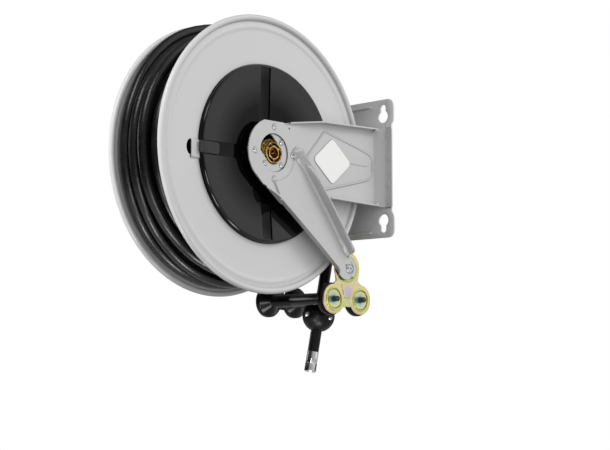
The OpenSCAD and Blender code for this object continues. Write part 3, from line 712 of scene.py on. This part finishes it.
def arm_path(s):
    """Middle line of the arm seen from above: (x, y, angle turned)."""
    t = s - ARM_BEND
    if t <= 0:
        return ARM_X, s, 0.0
    r1, r2 = TURN_1 / TURN_ANGLE, TURN_2 / (math.pi / 2 - TURN_ANGLE)
    x, y = ARM_X, ARM_BEND
    a = min(t, TURN_1) / r1
    x += r1 * (1 - math.cos(a))
    y += r1 * math.sin(a)
    t -= TURN_1
    if t > 0:
        q = min(t, SLANT)
        x += q * math.sin(a)
        y += q * math.cos(a)
        t -= SLANT
    if t > 0:
        b = a + min(t, TURN_2) / r2
        x += r2 * (math.cos(a) - math.cos(b))
        y += r2 * (math.sin(b) - math.sin(a))
        a = b
        t -= TURN_2
    if t > 0:
        x += t
    return x, y, a
DIAMOND = [((75, 0), 9), ((121, -51), 10), ((210, -29.9), 40), ((236, -22.5), 22), ((251.5, -6), 14), ((251.5, 6), 14), ((236, 22.5), 22), ((210, 29.9), 40), ((121, 51), 10)]


def rounded(corners, steps=8):
    """A closed outline with each corner turned on its own radius."""
    pts = []
    m = len(corners)
    for i in range(m):
        p, r = Vector(corners[i][0]), corners[i][1]
        a, b = Vector(corners[i - 1][0]), Vector(corners[(i + 1) % m][0])
        u, v = (a - p), (b - p)
        lu, lv = u.length, v.length
        u, v = u / lu, v / lv
        half = math.acos(max(-1, min(1, u.dot(v)))) / 2
        cutoff = min(r / math.tan(half), lu * 0.48, lv * 0.48)
        r = cutoff * math.tan(half)
        c = p + (u + v).normalized() * (r / math.sin(half))
        s0, s1 = p + u * cutoff - c, p + v * cutoff - c
        ang = math.pi - 2 * half
        sign = 1 if (s0.x * s1.y - s0.y * s1.x) > 0 else -1
        for k in range(steps + 1):
            t = sign * ang * k / steps
            pts.append(Vector((c.x + s0.x * math.cos(t) - s0.y * math.sin(t), c.y + s0.x * math.sin(t) + s0.y * math.cos(t))))
    return pts


def inset(pts, d):
    m = len(pts)
    out = []
    area = sum(pts[i].x * pts[(i + 1) % m].y - pts[(i + 1) % m].x * pts[i].y for i in range(m))
    s = 1 if area > 0 else -1
    for i in range(m):
        t = (pts[(i + 1) % m] - pts[i - 1]).normalized()
        out.append(pts[i] + Vector((-t.y, t.x)) * (s * d))
    return out


def on_arm(s, z, h):
    """A point at height h above the viewer side of a side arm, s along its web and round the bend."""
    if s <= ARM_BEND:
        return P(ARM_X + h, s, z)
    x, y, ang = arm_path(s)
    return P(x + h * math.cos(ang), y - h * math.sin(ang), z)


def pressing(name, outline, levels):
    """A raised field: loops of the outline, each inset and lifted, closed by a flat top."""
    # nothing of the pressing goes past the start of the bend
    outline = [Vector((min(q.x, ARM_BEND - 0.2), q.y)) for q in map(Vector, outline)]
    verts, faces = [], []
    m = len(outline)
    for d, h in levels:
        verts += [on_arm(q.x, q.y, h) for q in inset(outline, d)]
    for i in range(len(levels) - 1):
        for k in range(m):
            l = (k + 1) % m
            faces.append((i * m + k, i * m + l, (i + 1) * m + l, (i + 1) * m + k))
    # the flat top is closed with a single face, and the bottom loop with another
    last = (len(levels) - 1) * m
    faces.append(tuple(last + k for k in range(m)))
    faces.append(tuple(reversed(range(m))))
    return new_object(name, verts, faces, 40)


def side_details(mirror):
    parts_ = [pressing("diamond", rounded(DIAMOND), [(-0.3, -0.3), (-0.15, 0.02), (0.05, 0.3), (0.35, 1.5), (0.8, 1.75), (1.7, 1.75), (2.1, 1.45), (2.5, 0.75), (3.3, 0.7), (4.2, 0.95), (5.6, 1.1)])]
    groove = [Vector((186 + 41 * k / 10, 1 - 0.0 * k)) for k in range(11)]
    v, f = [], []
    for i, q in enumerate(groove):
        w = 0.9 * min(1.0, (i + 0.3) / 1.5, (10.3 - i) / 1.5)
        for dz, h in ((-0.9, 0.7), (-0.5, 1.6), (0, 1.9), (0.5, 1.6), (0.9, 0.7)):
            v.append(on_arm(q.x, q.y + dz * w * 1.6, h))
    for i in range(10):
        for k in range(4):
            f.append((i * 5 + k, i * 5 + k + 1, (i + 1) * 5 + k + 1, (i + 1) * 5 + k))
    parts_.append(new_object("crease", v, f, 60))
    for ob in parts_:
        if mirror:
            for vtx in ob.data.vertices:
                vtx.co.x = -vtx.co.x
            ob.data.flip_normals()
        add(ob, "bracket", "bracket_grey")


def arm_half(y):
    a = HEAD_R * HEAD_R - y * y
    hz = min(52.0, math.sqrt(a)) if a > 0 else 0.0
    if y > 12:
        hz = max(hz, table([(12, 51.5), (25, 53.6), (50, 56.6), (110, 64.6), (163, 66), (245, 68.6)], y))
    return hz


def arm_lift(y, z):
    return 0.0


def side_arm_rows(low_start):
    ss = [-HEAD_R * math.cos(math.pi / 2 * k / 24) for k in range(24)] + [2.0 * k for k in range(12)]
    ss += [24 + 1.0 * k for k in range(222)]
    rows = []
    top = [(22, 0), (30, 1.2), (45, 4), (75, 9), (100, 12.6), (110, 13), (236, 13), (243, 13)]
    low = [(low_start - 2, 0), (low_start + 1.5, 8), (low_start + 5, 12), (low_start + 12, 13), (236, 13), (243, 13)] if low_start > 66 else top
    arcs = [ARM_BEND + TURN_1 * k / 8 for k in range(1, 9)] + [ARM_BEND + TURN_1 + SLANT * k / 13 for k in range(1, 13)] + [ARM_BEND + TURN_1 + SLANT + 1.0 * k for k in range(1, 7)]
    flat = [arcs[-1] + v for v in (1, 2.5, 4, 5.5, 7, 8.4, 9.5, 10.2)]
    for s in ss + arcs + flat:
        y = min(s, ARM_BEND)
        hz = arm_half(y)
        if s > ARM_BEND:
            # the wall flange stands a little higher than the web, with rounded ears
            over = s - arcs[-1]
            hz = lerp(68.4, 70.0, smooth01((s - ARM_BEND - 9) / 14))
            hz -= max(0.0, over - 6.5) ** 2 * 0.25
        inner = min(2.45, hz / 8)
        r = min(3.2, hz / 4)
        if s <= ARM_BEND:
            pl = edge_profile(1, -hz, inner, table(low, s), 0.0, r)
            pt = edge_profile(-1, hz, inner, table(top, s), 0.0, r)
        else:
            fade = 1 - smooth01((s - ARM_BEND - 1) / 9)
            pl = edge_profile(1, -hz, inner, 13.0 * fade, 0.0, r)
            pt = edge_profile(-1, hz, inner, 13.0 * fade, 0.0, r)
        z0, z1 = pl[-1][0], pt[-1][0]
        line = list(pl)
        for k in range(1, 90):
            z = lerp(z0, z1, k / 90)
            line.append((z, arm_lift(s, z) * smooth01(min(k, 90 - k) / 2.0)))
        line += list(reversed(pt))
        row = []
        for z, h in line:
            # h is measured along the sheet's own normal
            cx, cy, ang = arm_path(s)
            row.append((cx + h * math.cos(ang), cy - h * math.sin(ang), z))
        rows.append(row)
    return rows


def side_arm(name, low_start, cuts):
    return sheet(name, side_arm_rows(low_start), lambda x, y, z: P(x, y, z), 2.45, cuts=cuts, bevel=0.4, even=False)


def window_cutter():
    pts = []
    for k in range(25):
        a = math.radians(-135 + 180 * k / 24 + 90 - 90)
        pts.append((19 * math.cos(a + math.radians(0)), 19 * math.sin(a)))
    lower = [(19 * math.cos(math.radians(a)), 19 * math.sin(math.radians(a))) for a in range(-135, 46, 6)]
    upper = [(-13 + 19 * math.cos(math.radians(a)), 13 + 19 * math.sin(math.radians(a))) for a in range(45, 226, 6)]
    return prism("window", lower + upper, 60, 95)


front_cuts = [window_cutter(), bar("free_hole", 2.5, 60, 95, (37, 43.5), n=32)]
front_arm = side_arm("front_arm_pressing", 124, front_cuts)
add(front_arm, "bracket", "bracket_grey", "front_side_arm")
side_details(False)

rear_arm = side_arm("rear_arm_pressing", 66, [bar("axle_hole", 10, 60, 95), bar("pivot_hole", 4, 60, 95, (104, 0), n=32)])
for v in rear_arm.data.vertices:
    v.co.x = -v.co.x
rear_arm.data.flip_normals()
add(rear_arm, "bracket", "bracket_grey", "rear_side_arm")
side_details(True)

# ---------------------------------------------------------------- flanges
def flange_outline(r0, extra=()):
    front = [(r0, 59.2), (r0 + 0.3, 59.5)]
    front += [(r, 59.5) for r in (170, 190, 203)] if not extra else [(r, 59.5) for r in (70, 100)] + list(extra) + [(r, 59.5) for r in (140, 170, 190, 203)]
    front += [(203 + 14 * k / 14, 59.5 + 0.8 * (1 - math.cos(2 * math.pi * k / 14))) for k in range(1, 14)]
    front += [(217.6, 59.4), (218.8, 59.25), (219.6, 59.6)]
    bead = arc(225, 60, 5, 172, -160, 26)
    rest = [(220.6, 57.7), (218.5, 57.8), (216.5, 57.95)]
    rest += [(217 - 14 * k / 14, 57.9 + 0.8 * (1 - math.cos(2 * math.pi * k / 14))) for k in range(1, 14)]
    if extra:
        rest += [(r, 57.9) for r in (190, 170, 140)] + [(r, x - 1.6) for r, x in reversed(list(extra))] + [(r, 57.9) for r in (100, 70)]
    else:
        rest += [(r, 57.9) for r in (190, 170)]
    rest += [(r0 + 0.3, 57.9), (r0, 58.2)]
    return front + bead + rest


front_fl = revolve("front_flange_pressing", flange_outline(147.9), n=256, angle=40)


def bridge():
    """The lanced bridge beside the cover's clip."""
    zs = [-25.5, -24.2, -22.9, -21.9, -20.8] + [-20.8 + 25.4 * k / 8 for k in range(1, 8)] + [4.6, 5.7, 6.7, 8.0, 9.3]
    rows = []
    for y in [-164 + 19 * k / 10 for k in range(11)]:
        row = []
        for z in zs:
            h = 2.9 * smooth01((z + 24.2) / 3.2) * smooth01((8.0 - z) / 3.2)
            row.append((59.45 + h, y, z))
        rows.append(row)
    return sheet("clip_bridge", rows, lambda x, y, z: P(x, y, z), 1.3, bevel=0.25)


br = bridge()
slot_pts = [(-149.5, 6.6), (-164, 6.6)] + [(-164 + 8 * math.cos(math.radians(a)), -5.7 + 12.3 * math.sin(math.radians(a))) for a in range(95, 266, 10)] + [(-164, -18), (-149.5, -18)]
cut(front_fl, prism("slot", slot_pts, 55, 66))
shade(front_fl.data, 40)
add(front_fl, "drum", "flange_grey_painted_light", "front_flange")
add(br, "drum", "sheet_grey")

rear_fl = revolve("rear_flange_pressing", flange_outline(40.05, [(118 + 14 * (k - 7) / 14, 59.5 + 0.75 * (1 - math.cos(2 * math.pi * k / 14))) for k in range(0, 15)]), n=256, angle=40)
for v in rear_fl.data.vertices:
    v.co.x = -v.co.x
rear_fl.data.flip_normals()
for i in range(6):
    a = math.radians(i * 60)
    cut(rear_fl, bar("screw_hole", 3, -62, -55, (50 * math.cos(a), 50 * math.sin(a)), n=24))
shade(rear_fl.data, 40)
add(rear_fl, "drum", "flange_grey_painted_light", "rear_flange")

# ---------------------------------------------------------------- hose
HOSE_R = 9.6
TAIL = [(26, 206.5, -29), (25.6, 203, -55), (24.9, 198.5, -85), (23.8, 194, -115),
        (22.3, 190, -145), (20.6, 186, -174), (18, 182, -203), (15.4, 178, -232), (12.6, 174, -261),
        (10.3, 170, -290), (7.7, 165.6, -321)]


def on_turn(r, deg, x):
    return (x, r * math.cos(math.radians(deg)), r * math.sin(math.radians(deg)))


lead = [on_turn(208.4, 14, 26.6), on_turn(208.5, 8, 26.4), on_turn(208.6, 2, 26.2)]
tail_path = catmull([P(*p) for p in lead + TAIL], 0.004)
tail_ob = new_object("hose_tail_rubber", *tube_data(tail_path, HOSE_R / 1000, 28), angle=60)
add(tail_ob, "bracket", "tail_rubber_dimmed_reflection", "hose_tail")
tuple(tail_path[0])
[tuple(p) for p in tail_path]

# the layers on the drum: rings below, and a top layer that runs back to the rear and then crosses over to leave
parts = []
for r, xs in ((150.5, (-46, -22, 2, 26, 47)), (170.5, (-47.5, -35.5, -11.5, 13, 37)), (191.5, (-35.5, -13.2, 9.8, 32.5, 47.6))):
    for x in xs:
        ph = x * 0.37
        ring = [P(x + 0.35 * math.sin(3 * t + ph), (r + 0.3 * math.sin(5 * t + ph)) * math.cos(t), (r + 0.3 * math.sin(5 * t + ph)) * math.sin(t))
                for t in [2 * math.pi * k / 144 for k in range(144)]]
        parts.append(tube_data(ring, HOSE_R / 1000, 18, closed=True))
# (degrees along the hose, x, radius): the angle falls towards the free end
TOP = [(650, 21, 192), (620, 20, 200), (590, 14, 208), (565, 2.5, 208.4), (538, -2.5, 208.2), (518, -4, 208.2), (470, -6, 207.5), (450, -8, 203), (400, -13, 199.5),
       (340, -15, 200), (300, -18, 207), (250, -22.4, 208.4), (205, -23.4, 208.2), (178, -24.2, 208.2), (158, -25, 208.2), (118, -27.5, 207), (90, -30, 203), (40, -36, 200),
       (-20, -41, 203), (-60, -45, 208), (-110, -45.8, 210), (-133, -45.6, 210.6), (-143, -45.4, 210.2), (-155, -45.2, 209.6), (-182, -45.2, 209.2), (-202, -45.2, 209.8),
       (-212, -45.2, 212), (-222, -45.2, 215), (-233, -45, 217.6), (-242, -44, 219.6), (-258, -39, 220.4), (-290, -21, 220.4), (-320, 0, 218), (-345, 19, 213), (-364, 26.4, 208.6)]
climb = []
tops = catmull([Vector(q) for q in TOP], 4.0)
for q in tops:
    a = math.radians(q.x)
    climb.append(P(q.y + 0.25 * math.sin(2.3 * a), q.z * math.cos(a), q.z * math.sin(a)))
parts.append(tube_data(climb, HOSE_R / 1000 * 0.998, 24))
winding = new_object("hose_turns", *join_data(parts), angle=60)
add(winding, "drum", "black_rubber", "hose_winding")

# ---------------------------------------------------------------- spring case cover
FLAT_R, COVER_X = 142.65, 68.85


def face_x(r):
    return COVER_X - (FLAT_R - max(60.0, r)) * math.tan(math.radians(3))


outer = [(27.0, 57.4), (27.0, 63.6), (27.9, 64.5), (60, face_x(60))] + [(r, face_x(r)) for r in (80, 100, 120, 135)]
outer += arc(FLAT_R, COVER_X - 4.85, 4.85, 90, 0, 12)
outer += [(147.5, 58.4), (147.1, 57.95), (145.2, 57.95), (145.1, 61.2), (140, 61.6), (60, 57.3)]
cover = revolve("gloss_cover", outer, n=240, angle=35)
DEPTH = 2.3


def channel(vertical, left_open):
    """The space of one pair of channels, its floor parallel to the dished face."""
    lo = -175.0 if left_open else -142.0
    prof = [(lo, 90.0)]
    if left_open:
        prof += [(-175.0, 65.4), (-147.0, 65.4), (-140.0, face_x(140) - DEPTH)]
    else:
        prof += [(-142.0, face_x(142) - DEPTH)]
    prof += [(-100.0, face_x(100) - DEPTH), (-60.0, face_x(60) - DEPTH), (60.0, face_x(60) - DEPTH), (100.0, face_x(100) - DEPTH), (142.0, face_x(142) - DEPTH), (142.0, 90.0)]
    tilt = math.radians(1.0)
    verts = []
    for w in (-11.3, 11.3):
        for t, x in prof:
            y, z = (w, t) if vertical else (t, w)
            verts.append(P(x, -6.5 * (1 if vertical else 0) + y * math.cos(tilt) - z * math.sin(tilt), -2.5 * (0 if vertical else 1) + y * math.sin(tilt) + z * math.cos(tilt)))
    n = len(prof)
    faces = [(i, (i + 1) % n, n + (i + 1) % n, n + i) for i in range(n)] + [tuple(reversed(range(n))), tuple(range(n, 2 * n))]
    return new_object("channel", verts, faces)


cut(cover, channel(True, False))
cut(cover, channel(False, True))
round_edges(cover, 0.75, 3, limit=38)
add(cover, "drum", "black_gloss", "spring_case_cover")

# clip plate that lies in the left channel and passes over the rim
rows = []
for y in [-151, -149, -147, -145, -143, -140, -136, -130, -124, -118, -114, -111.5, -110.0, -109.2, -109]:
    half = 9.6 - (max(0.0, y + 113.0) / 4.0) ** 2 * 3.6
    row = []
    for k in range(13):
        z = -4.3 + half * (k / 6 - 1)
        x = (face_x(-y) - DEPTH + 1.9) if y > -141 else 67.6
        row.append((x, y, z))
    rows.append(row)
clip = sheet("clip_plate", rows, lambda x, y, z: P(x, y, z), 1.6, bevel=0.35)
add(clip, "drum", "black_plastic", "cover_clip")
rivets = []
for y, z in ((-121, 2), (-121, -11), (-134, 2), (-134, -11)):
    top = face_x(-y) - DEPTH + 1.9
    prof = [(0.01, top + 0.75), (1.0, top + 0.65), (1.7, top + 0.35), (2.0, top + 0.0), (2.0, top - 0.4), (0.01, top - 0.4)]
    ring = 20
    v = [P(x, y + r * math.cos(2 * math.pi * i / ring), z + r * math.sin(2 * math.pi * i / ring)) for i in range(ring) for r, x in prof]
    m = len(prof)
    f = [(i * m + k, i * m + (k + 1) % m, ((i + 1) % ring) * m + (k + 1) % m, ((i + 1) % ring) * m + k) for i in range(ring) for k in range(m)]
    rivets.append((v, f))
add(new_object("clip_rivet_heads", *join_data(rivets)), "drum", "black_steel", "clip_rivets")

# ---------------------------------------------------------------- label
lab = []
for k in range(64):
    a = 2 * math.pi * k / 64
    c, d = math.cos(a), math.sin(a)
    # rhombus with rounded corners
    q = 1 / (abs(c) / 42 + abs(d) / 36)
    lab.append((139 + q * c, q * d))
lab = []
corners = [(34.5, 0), (0, 29.0), (-34.5, 0), (0, -29.0)]
for i, (cy, cz) in enumerate(corners):
    mid_a = i * 90
    spread = 49 if i % 2 == 0 else 41
    for k in range(9):
        a = math.radians(mid_a - spread + 2 * spread * k / 8)
        lab.append((139 + cy + 8 * math.cos(a), cz + 8 * math.sin(a)))
label = prism("plain_label", lab, ARM_X + 1.0, ARM_X + 2.45)
add(label, "bracket", "label_white", "blank_label")

# ---------------------------------------------------------------- rollers
ROLL_Y, ROLL_Z = 177.0, -233.0
roller_prof = [(4.82, -86.0), (24.6, -86.0), (26.4, -85.5), (27.2, -84.6), (27.4, -83.4), (27.4, -78.0), (27.2, -76.6), (26.4, -75.4), (12.8, -64.6), (11.7, -63.2), (11.2, -61.6),
               (11.0, -60), (11.0, -20), (11.0, -19.4), (10.75, -19.0), (11.0, -18.6), (11.0, 60.5), (11.6, 62.2), (13.0, 63.0), (26.0, 63.8), (27.3, 64.3), (27.9, 65.3), (27.9, 70.6),
               (27.5, 71.9), (26.4, 72.8), (24.6, 73.1), (4.82, 73.1)]
for node_name, yc in (("outer_roller", ROLL_Y - 33), ("inner_roller", ROLL_Y + 33)):
    ro = revolve(node_name + "_moulding", roller_prof, n=96, angle=32, centre=(yc, ROLL_Z))
    add(ro, node_name, "roller_black", node_name)

# ---------------------------------------------------------------- stop ball and hose end
def frame_at(p, d, turn):
    """Local millimetres to the row frame, z along the hose."""
    p, d = Vector(p), Vector(d).normalized()
    rot = Matrix.Rotation(math.atan2(d.y, d.x), 3, "Z") @ Matrix.Rotation(math.acos(d.z), 3, "Y") @ Matrix.Rotation(math.radians(turn), 3, "Z")

    def place(v):
        q = p + rot @ Vector(v)
        return P(q.x, q.y, q.z)
    return place


def turned(name, place, prof, a0=0.0, a1=360.0, n=72, angle=35):
    """A closed (radius, z) outline turned about the local z axis, between two angles."""
    full = abs(a1 - a0 - 360) < 1e-6
    m = len(prof)
    cnt = n if full else n + 1
    verts, faces = [], []
    for i in range(cnt):
        a = math.radians(lerp(a0, a1, i / n))
        for r, z in prof:
            verts.append(place((r * math.cos(a), r * math.sin(a), z)))
    for i in range(n):
        j = (i + 1) % cnt
        for k in range(m):
            l = (k + 1) % m
            faces.append((i * m + k, i * m + l, j * m + l, j * m + k))
    if not full:
        faces.append(tuple(range(m)))
        faces.append(tuple(n * m + k for k in reversed(range(m))))
    return new_object(name, verts, faces, angle)


def local_bar(place, r, h0, h1, x, axis_y=True, n=32):
    verts, faces = [], []
    for i in range(n):
        a = 2 * math.pi * i / n
        for h in (h0, h1):
            verts.append(place((x + r * math.cos(a), h, r * math.sin(a))))
    for i in range(n):
        j = (i + 1) % n
        faces.append((2 * i, 2 * j, 2 * j + 1, 2 * i + 1))
    faces.append(tuple(2 * i for i in reversed(range(n))))
    faces.append(tuple(2 * i + 1 for i in range(n)))
    return new_object("bar", verts, faces)


STOP = Vector(TAIL[8])
stop_dir = (Vector(TAIL[9]) - Vector(TAIL[7])).normalized()
at_stop = frame_at(STOP, stop_dir, 12)
ball = []
for k in range(31):
    a = math.radians(lerp(-42, 64, k / 30))
    ball.append((28 * math.cos(a), -1.5 + 28 * math.sin(a)))
prof = [(10.75, -19.2), (19.5, -20.4), (20.4, -20.3)] + ball + [(11.6, 23.9), (10.9, 23.6), (10.75, 22.6)]
for name, a0, a1 in (("hose_stop_front", 180.6, 359.4), ("hose_stop_back", 0.6, 179.4)):
    half = turned(name + "_shell", at_stop, prof, a0, a1, n=60)
    side_y = -1 if name == "hose_stop_front" else 1
    for x in (-20, 20):
        cut(half, local_bar(at_stop, 4.7, 12.6 * side_y, 30 * side_y, x))
    round_edges(half, 0.7, 3, limit=38)
    add(half, "bracket", "ball_black", name)

END = Vector(TAIL[10])
end_dir = (Vector(TAIL[10]) - Vector(TAIL[9])).normalized()
at_end = frame_at(END, end_dir, 0)
crimp = []
crimp_faces = []
stations = [(5.0, -0.2, 0), (9.4, -0.2, 0.5), (9.9, 0.2, 1), (10.0, 1.0, 1), (10.0, 8.0, 1), (10.0, 19.2, 1), (9.7, 20.0, 1), (9.2, 20.2, 0.5), (5.0, 20.2, 0)]
ring = 96
for r, z, k in stations:
    for i in range(ring):
        a = 2 * math.pi * i / ring
        q = r * (1 - 0.055 * k * (0.5 + 0.5 * math.cos(8 * a)) ** 0.6)
        crimp.append(at_end((q * math.cos(a), q * math.sin(a), z)))
m = len(stations)
for j in range(m):
    for i in range(ring):
        i2, j2 = (i + 1) % ring, (j + 1) % m
        crimp_faces.append((j * ring + i, j * ring + i2, j2 * ring + i2, j2 * ring + i))
ferrule = new_object("crimped_ferrule", crimp, crimp_faces, 28)
add(ferrule, "bracket", "chrome_bright", "hose_ferrule")
socket = refined("hose_end_socket", "hex_socket", 0.5, 2)
add(socket, "bracket", "chrome_bright", "hose_end_socket")

# ---------------------------------------------------------------- everything else that shows, with clean edges
for node_name, width in (("wall_plate", 0.5), ("guide_arm_screws", 0.35), ("swivel_body", 0.4), ("swivel_screws", 0.3), ("roller_bracket", 0.6),
                         ("roller_bracket_screw", 0.4), ("roller_pins", 0.6), ("roller_end_plate", 0.6), ("roller_spacer", 0.3), ("hose_stop_screws", 0.3),
                         ("axle_washer", 0.4), ("axle_nut", 0.6), ("main_axle", 0.5), ("ratchet_ring", 0.4), ("ratchet_pawl", 0.4), ("rear_hub", 0.5),
                         ("rear_hub_screws", 0.3), ("pawl_pivot", 0.4), ("roller_clips", 0.2)):
    body = next(b for b, ns in frame["record"]["behaviour"]["bodies"].items() if node_name in ns)
    if slots[node_name] == "zinc_yellow":
        ob = refined(node_name, node_name + "_part", width, 3)
    else:
        ob = refined(node_name, node_name + "_part", width)
    add(ob, body, "plate_grey_painted_light" if node_name == "wall_plate" else slots[node_name], node_name)

# ---------------------------------------------------------------- stage and light
floor = new_object("floor", [(-3, -3, -0.95), (3, -3, -0.95), (3, 3, -0.95), (-3, 3, -0.95)], [(0, 1, 2, 3)])
fm, fnt, fb, fv = material("pale_floor")
fb.inputs["Roughness"].default_value = 0.8
fnt.links.new(mix_color(fnt, tex_noise(fnt, fv, 3, 2), (0.60, 0.60, 0.60), (0.64, 0.64, 0.64)), fb.inputs["Base Color"])
floor.data.materials.append(fm)
floor.visible_diffuse = False

world = bpy.data.worlds.new("studio")
scene.world = world
world.use_nodes = True
wn = world.node_tree
bg = wn.nodes["Background"]
wc = wn.nodes.new("ShaderNodeTexCoord")
sep = wn.nodes.new("ShaderNodeSeparateXYZ")
wn.links.new(wc.outputs["Generated"], sep.inputs["Vector"])


def world_math(op, a, b=None, c=None):
    n = wn.nodes.new("ShaderNodeMath")
    n.operation = op
    for i, v in enumerate((a, b, c)):
        if v is None:
            continue
        if isinstance(v, (int, float)):
            n.inputs[i].default_value = v
        else:
            wn.links.new(v, n.inputs[i])
    return n.outputs[0]


def world_range(v, lo, hi, a, b):
    n = wn.nodes.new("ShaderNodeMapRange")
    n.interpolation_type = "SMOOTHSTEP"
    for key, val in (("From Min", lo), ("From Max", hi), ("To Min", a), ("To Max", b)):
        n.inputs[key].default_value = val
    wn.links.new(v, n.inputs["Value"])
    return n.outputs["Result"]


def world_lobe(direction, inner, outer, strength):
    """A softbox on the far sphere: full inside the inner angle, gone at the outer one."""
    d = wn.nodes.new("ShaderNodeVectorMath")
    d.operation = "DOT_PRODUCT"
    wn.links.new(wc.outputs["Generated"], d.inputs[0])
    d.inputs[1].default_value = Vector(direction).normalized()
    return world_range(d.outputs["Value"], math.cos(math.radians(outer)), math.cos(math.radians(inner)), 0.0, strength)


base = world_range(sep.outputs["X"], -0.15, 0.5, 0.08, 0.92)
shade_y = world_range(sep.outputs["Y"], -0.65, 0.35, 0.24, 1.0)
light = world_math("MULTIPLY", base, shade_y)
light = world_math("MULTIPLY_ADD", sep.outputs["Z"], 0.10, light)
light = world_math("ADD", light, world_lobe((0.22, -0.68, 0.70), 4, 14, 8.0))
light = world_math("ADD", light, world_lobe((-0.95, -0.25, 0.15), 3, 14, 3.0))
bg.inputs["Color"].default_value = (1, 1, 1, 1)
wn.links.new(light, bg.inputs["Strength"])
plain = wn.nodes.new("ShaderNodeBackground")
plain.inputs["Color"].default_value = (1, 1, 1, 1)
plain.inputs["Strength"].default_value = 1.0
path = wn.nodes.new("ShaderNodeLightPath")
# the even light of a white tent, strongest from the front
front = wn.nodes.new("ShaderNodeVectorMath")
front.operation = "DOT_PRODUCT"
wn.links.new(wc.outputs["Generated"], front.inputs[0])
front.inputs[1].default_value = Vector((0.88, 0.0, 0.47)).normalized()
tent = wn.nodes.new("ShaderNodeBackground")
tent.inputs["Color"].default_value = (1, 1, 1, 1)
wn.links.new(world_math("MULTIPLY_ADD", world_math("MAXIMUM", front.outputs["Value"], 0.0), 1.15, 0.18), tent.inputs["Strength"])
soft = wn.nodes.new("ShaderNodeMixShader")
wn.links.new(path.outputs["Is Glossy Ray"], soft.inputs["Fac"])
wn.links.new(tent.outputs["Background"], soft.inputs[1])
wn.links.new(bg.outputs["Background"], soft.inputs[2])
mixw = wn.nodes.new("ShaderNodeMixShader")
wn.links.new(path.outputs["Is Camera Ray"], mixw.inputs["Fac"])
wn.links.new(soft.outputs["Shader"], mixw.inputs[1])
wn.links.new(plain.outputs["Background"], mixw.inputs[2])
wn.links.new(mixw.outputs["Shader"], wn.nodes["World Output"].inputs["Surface"])


def area(name, loc, target, size, power, shape="RECTANGLE", size_y=None):
    li = bpy.data.lights.new(name, "AREA")
    li.shape = shape
    li.size = size
    if size_y:
        li.size_y = size_y
    li.energy = power
    ob = bpy.data.objects.new(name, li)
    scene.collection.objects.link(ob)
    ob.location = loc
    ob.rotation_euler = (Vector(loc) - Vector(target)).to_track_quat("Z", "Y").to_euler()
    ob.visible_camera = False
    return ob


mid = (0, AXLE_Y, 0)
key = area("key", (1.9, 0.55, 1.55), mid, 1.0, 16, size_y=1.0)
key.visible_glossy = False
left = area("left", (-0.45, -2.2, 0.15), (0, -0.40, 0), 0.8, 36)
left.visible_glossy = False
low_left = area("low_left", (0.80, -1.15, -0.50), mid, 0.28, 2.2, size_y=0.28)
low_left.visible_diffuse = False
under = area("under", (0.24, -0.86, -0.76), (0, -0.35, -0.1), 0.30, 2.4, size_y=0.22)
under.visible_diffuse = False
below_ball = area("below_ball", (0.26, -0.34, -0.80), (0.013, -0.09, -0.26), 0.26, 1.7, size_y=0.18)
below_ball.visible_diffuse = False

scene.view_settings.view_transform = "Standard"
scene.view_settings.look = "None"

bpy.context.view_layer.update()
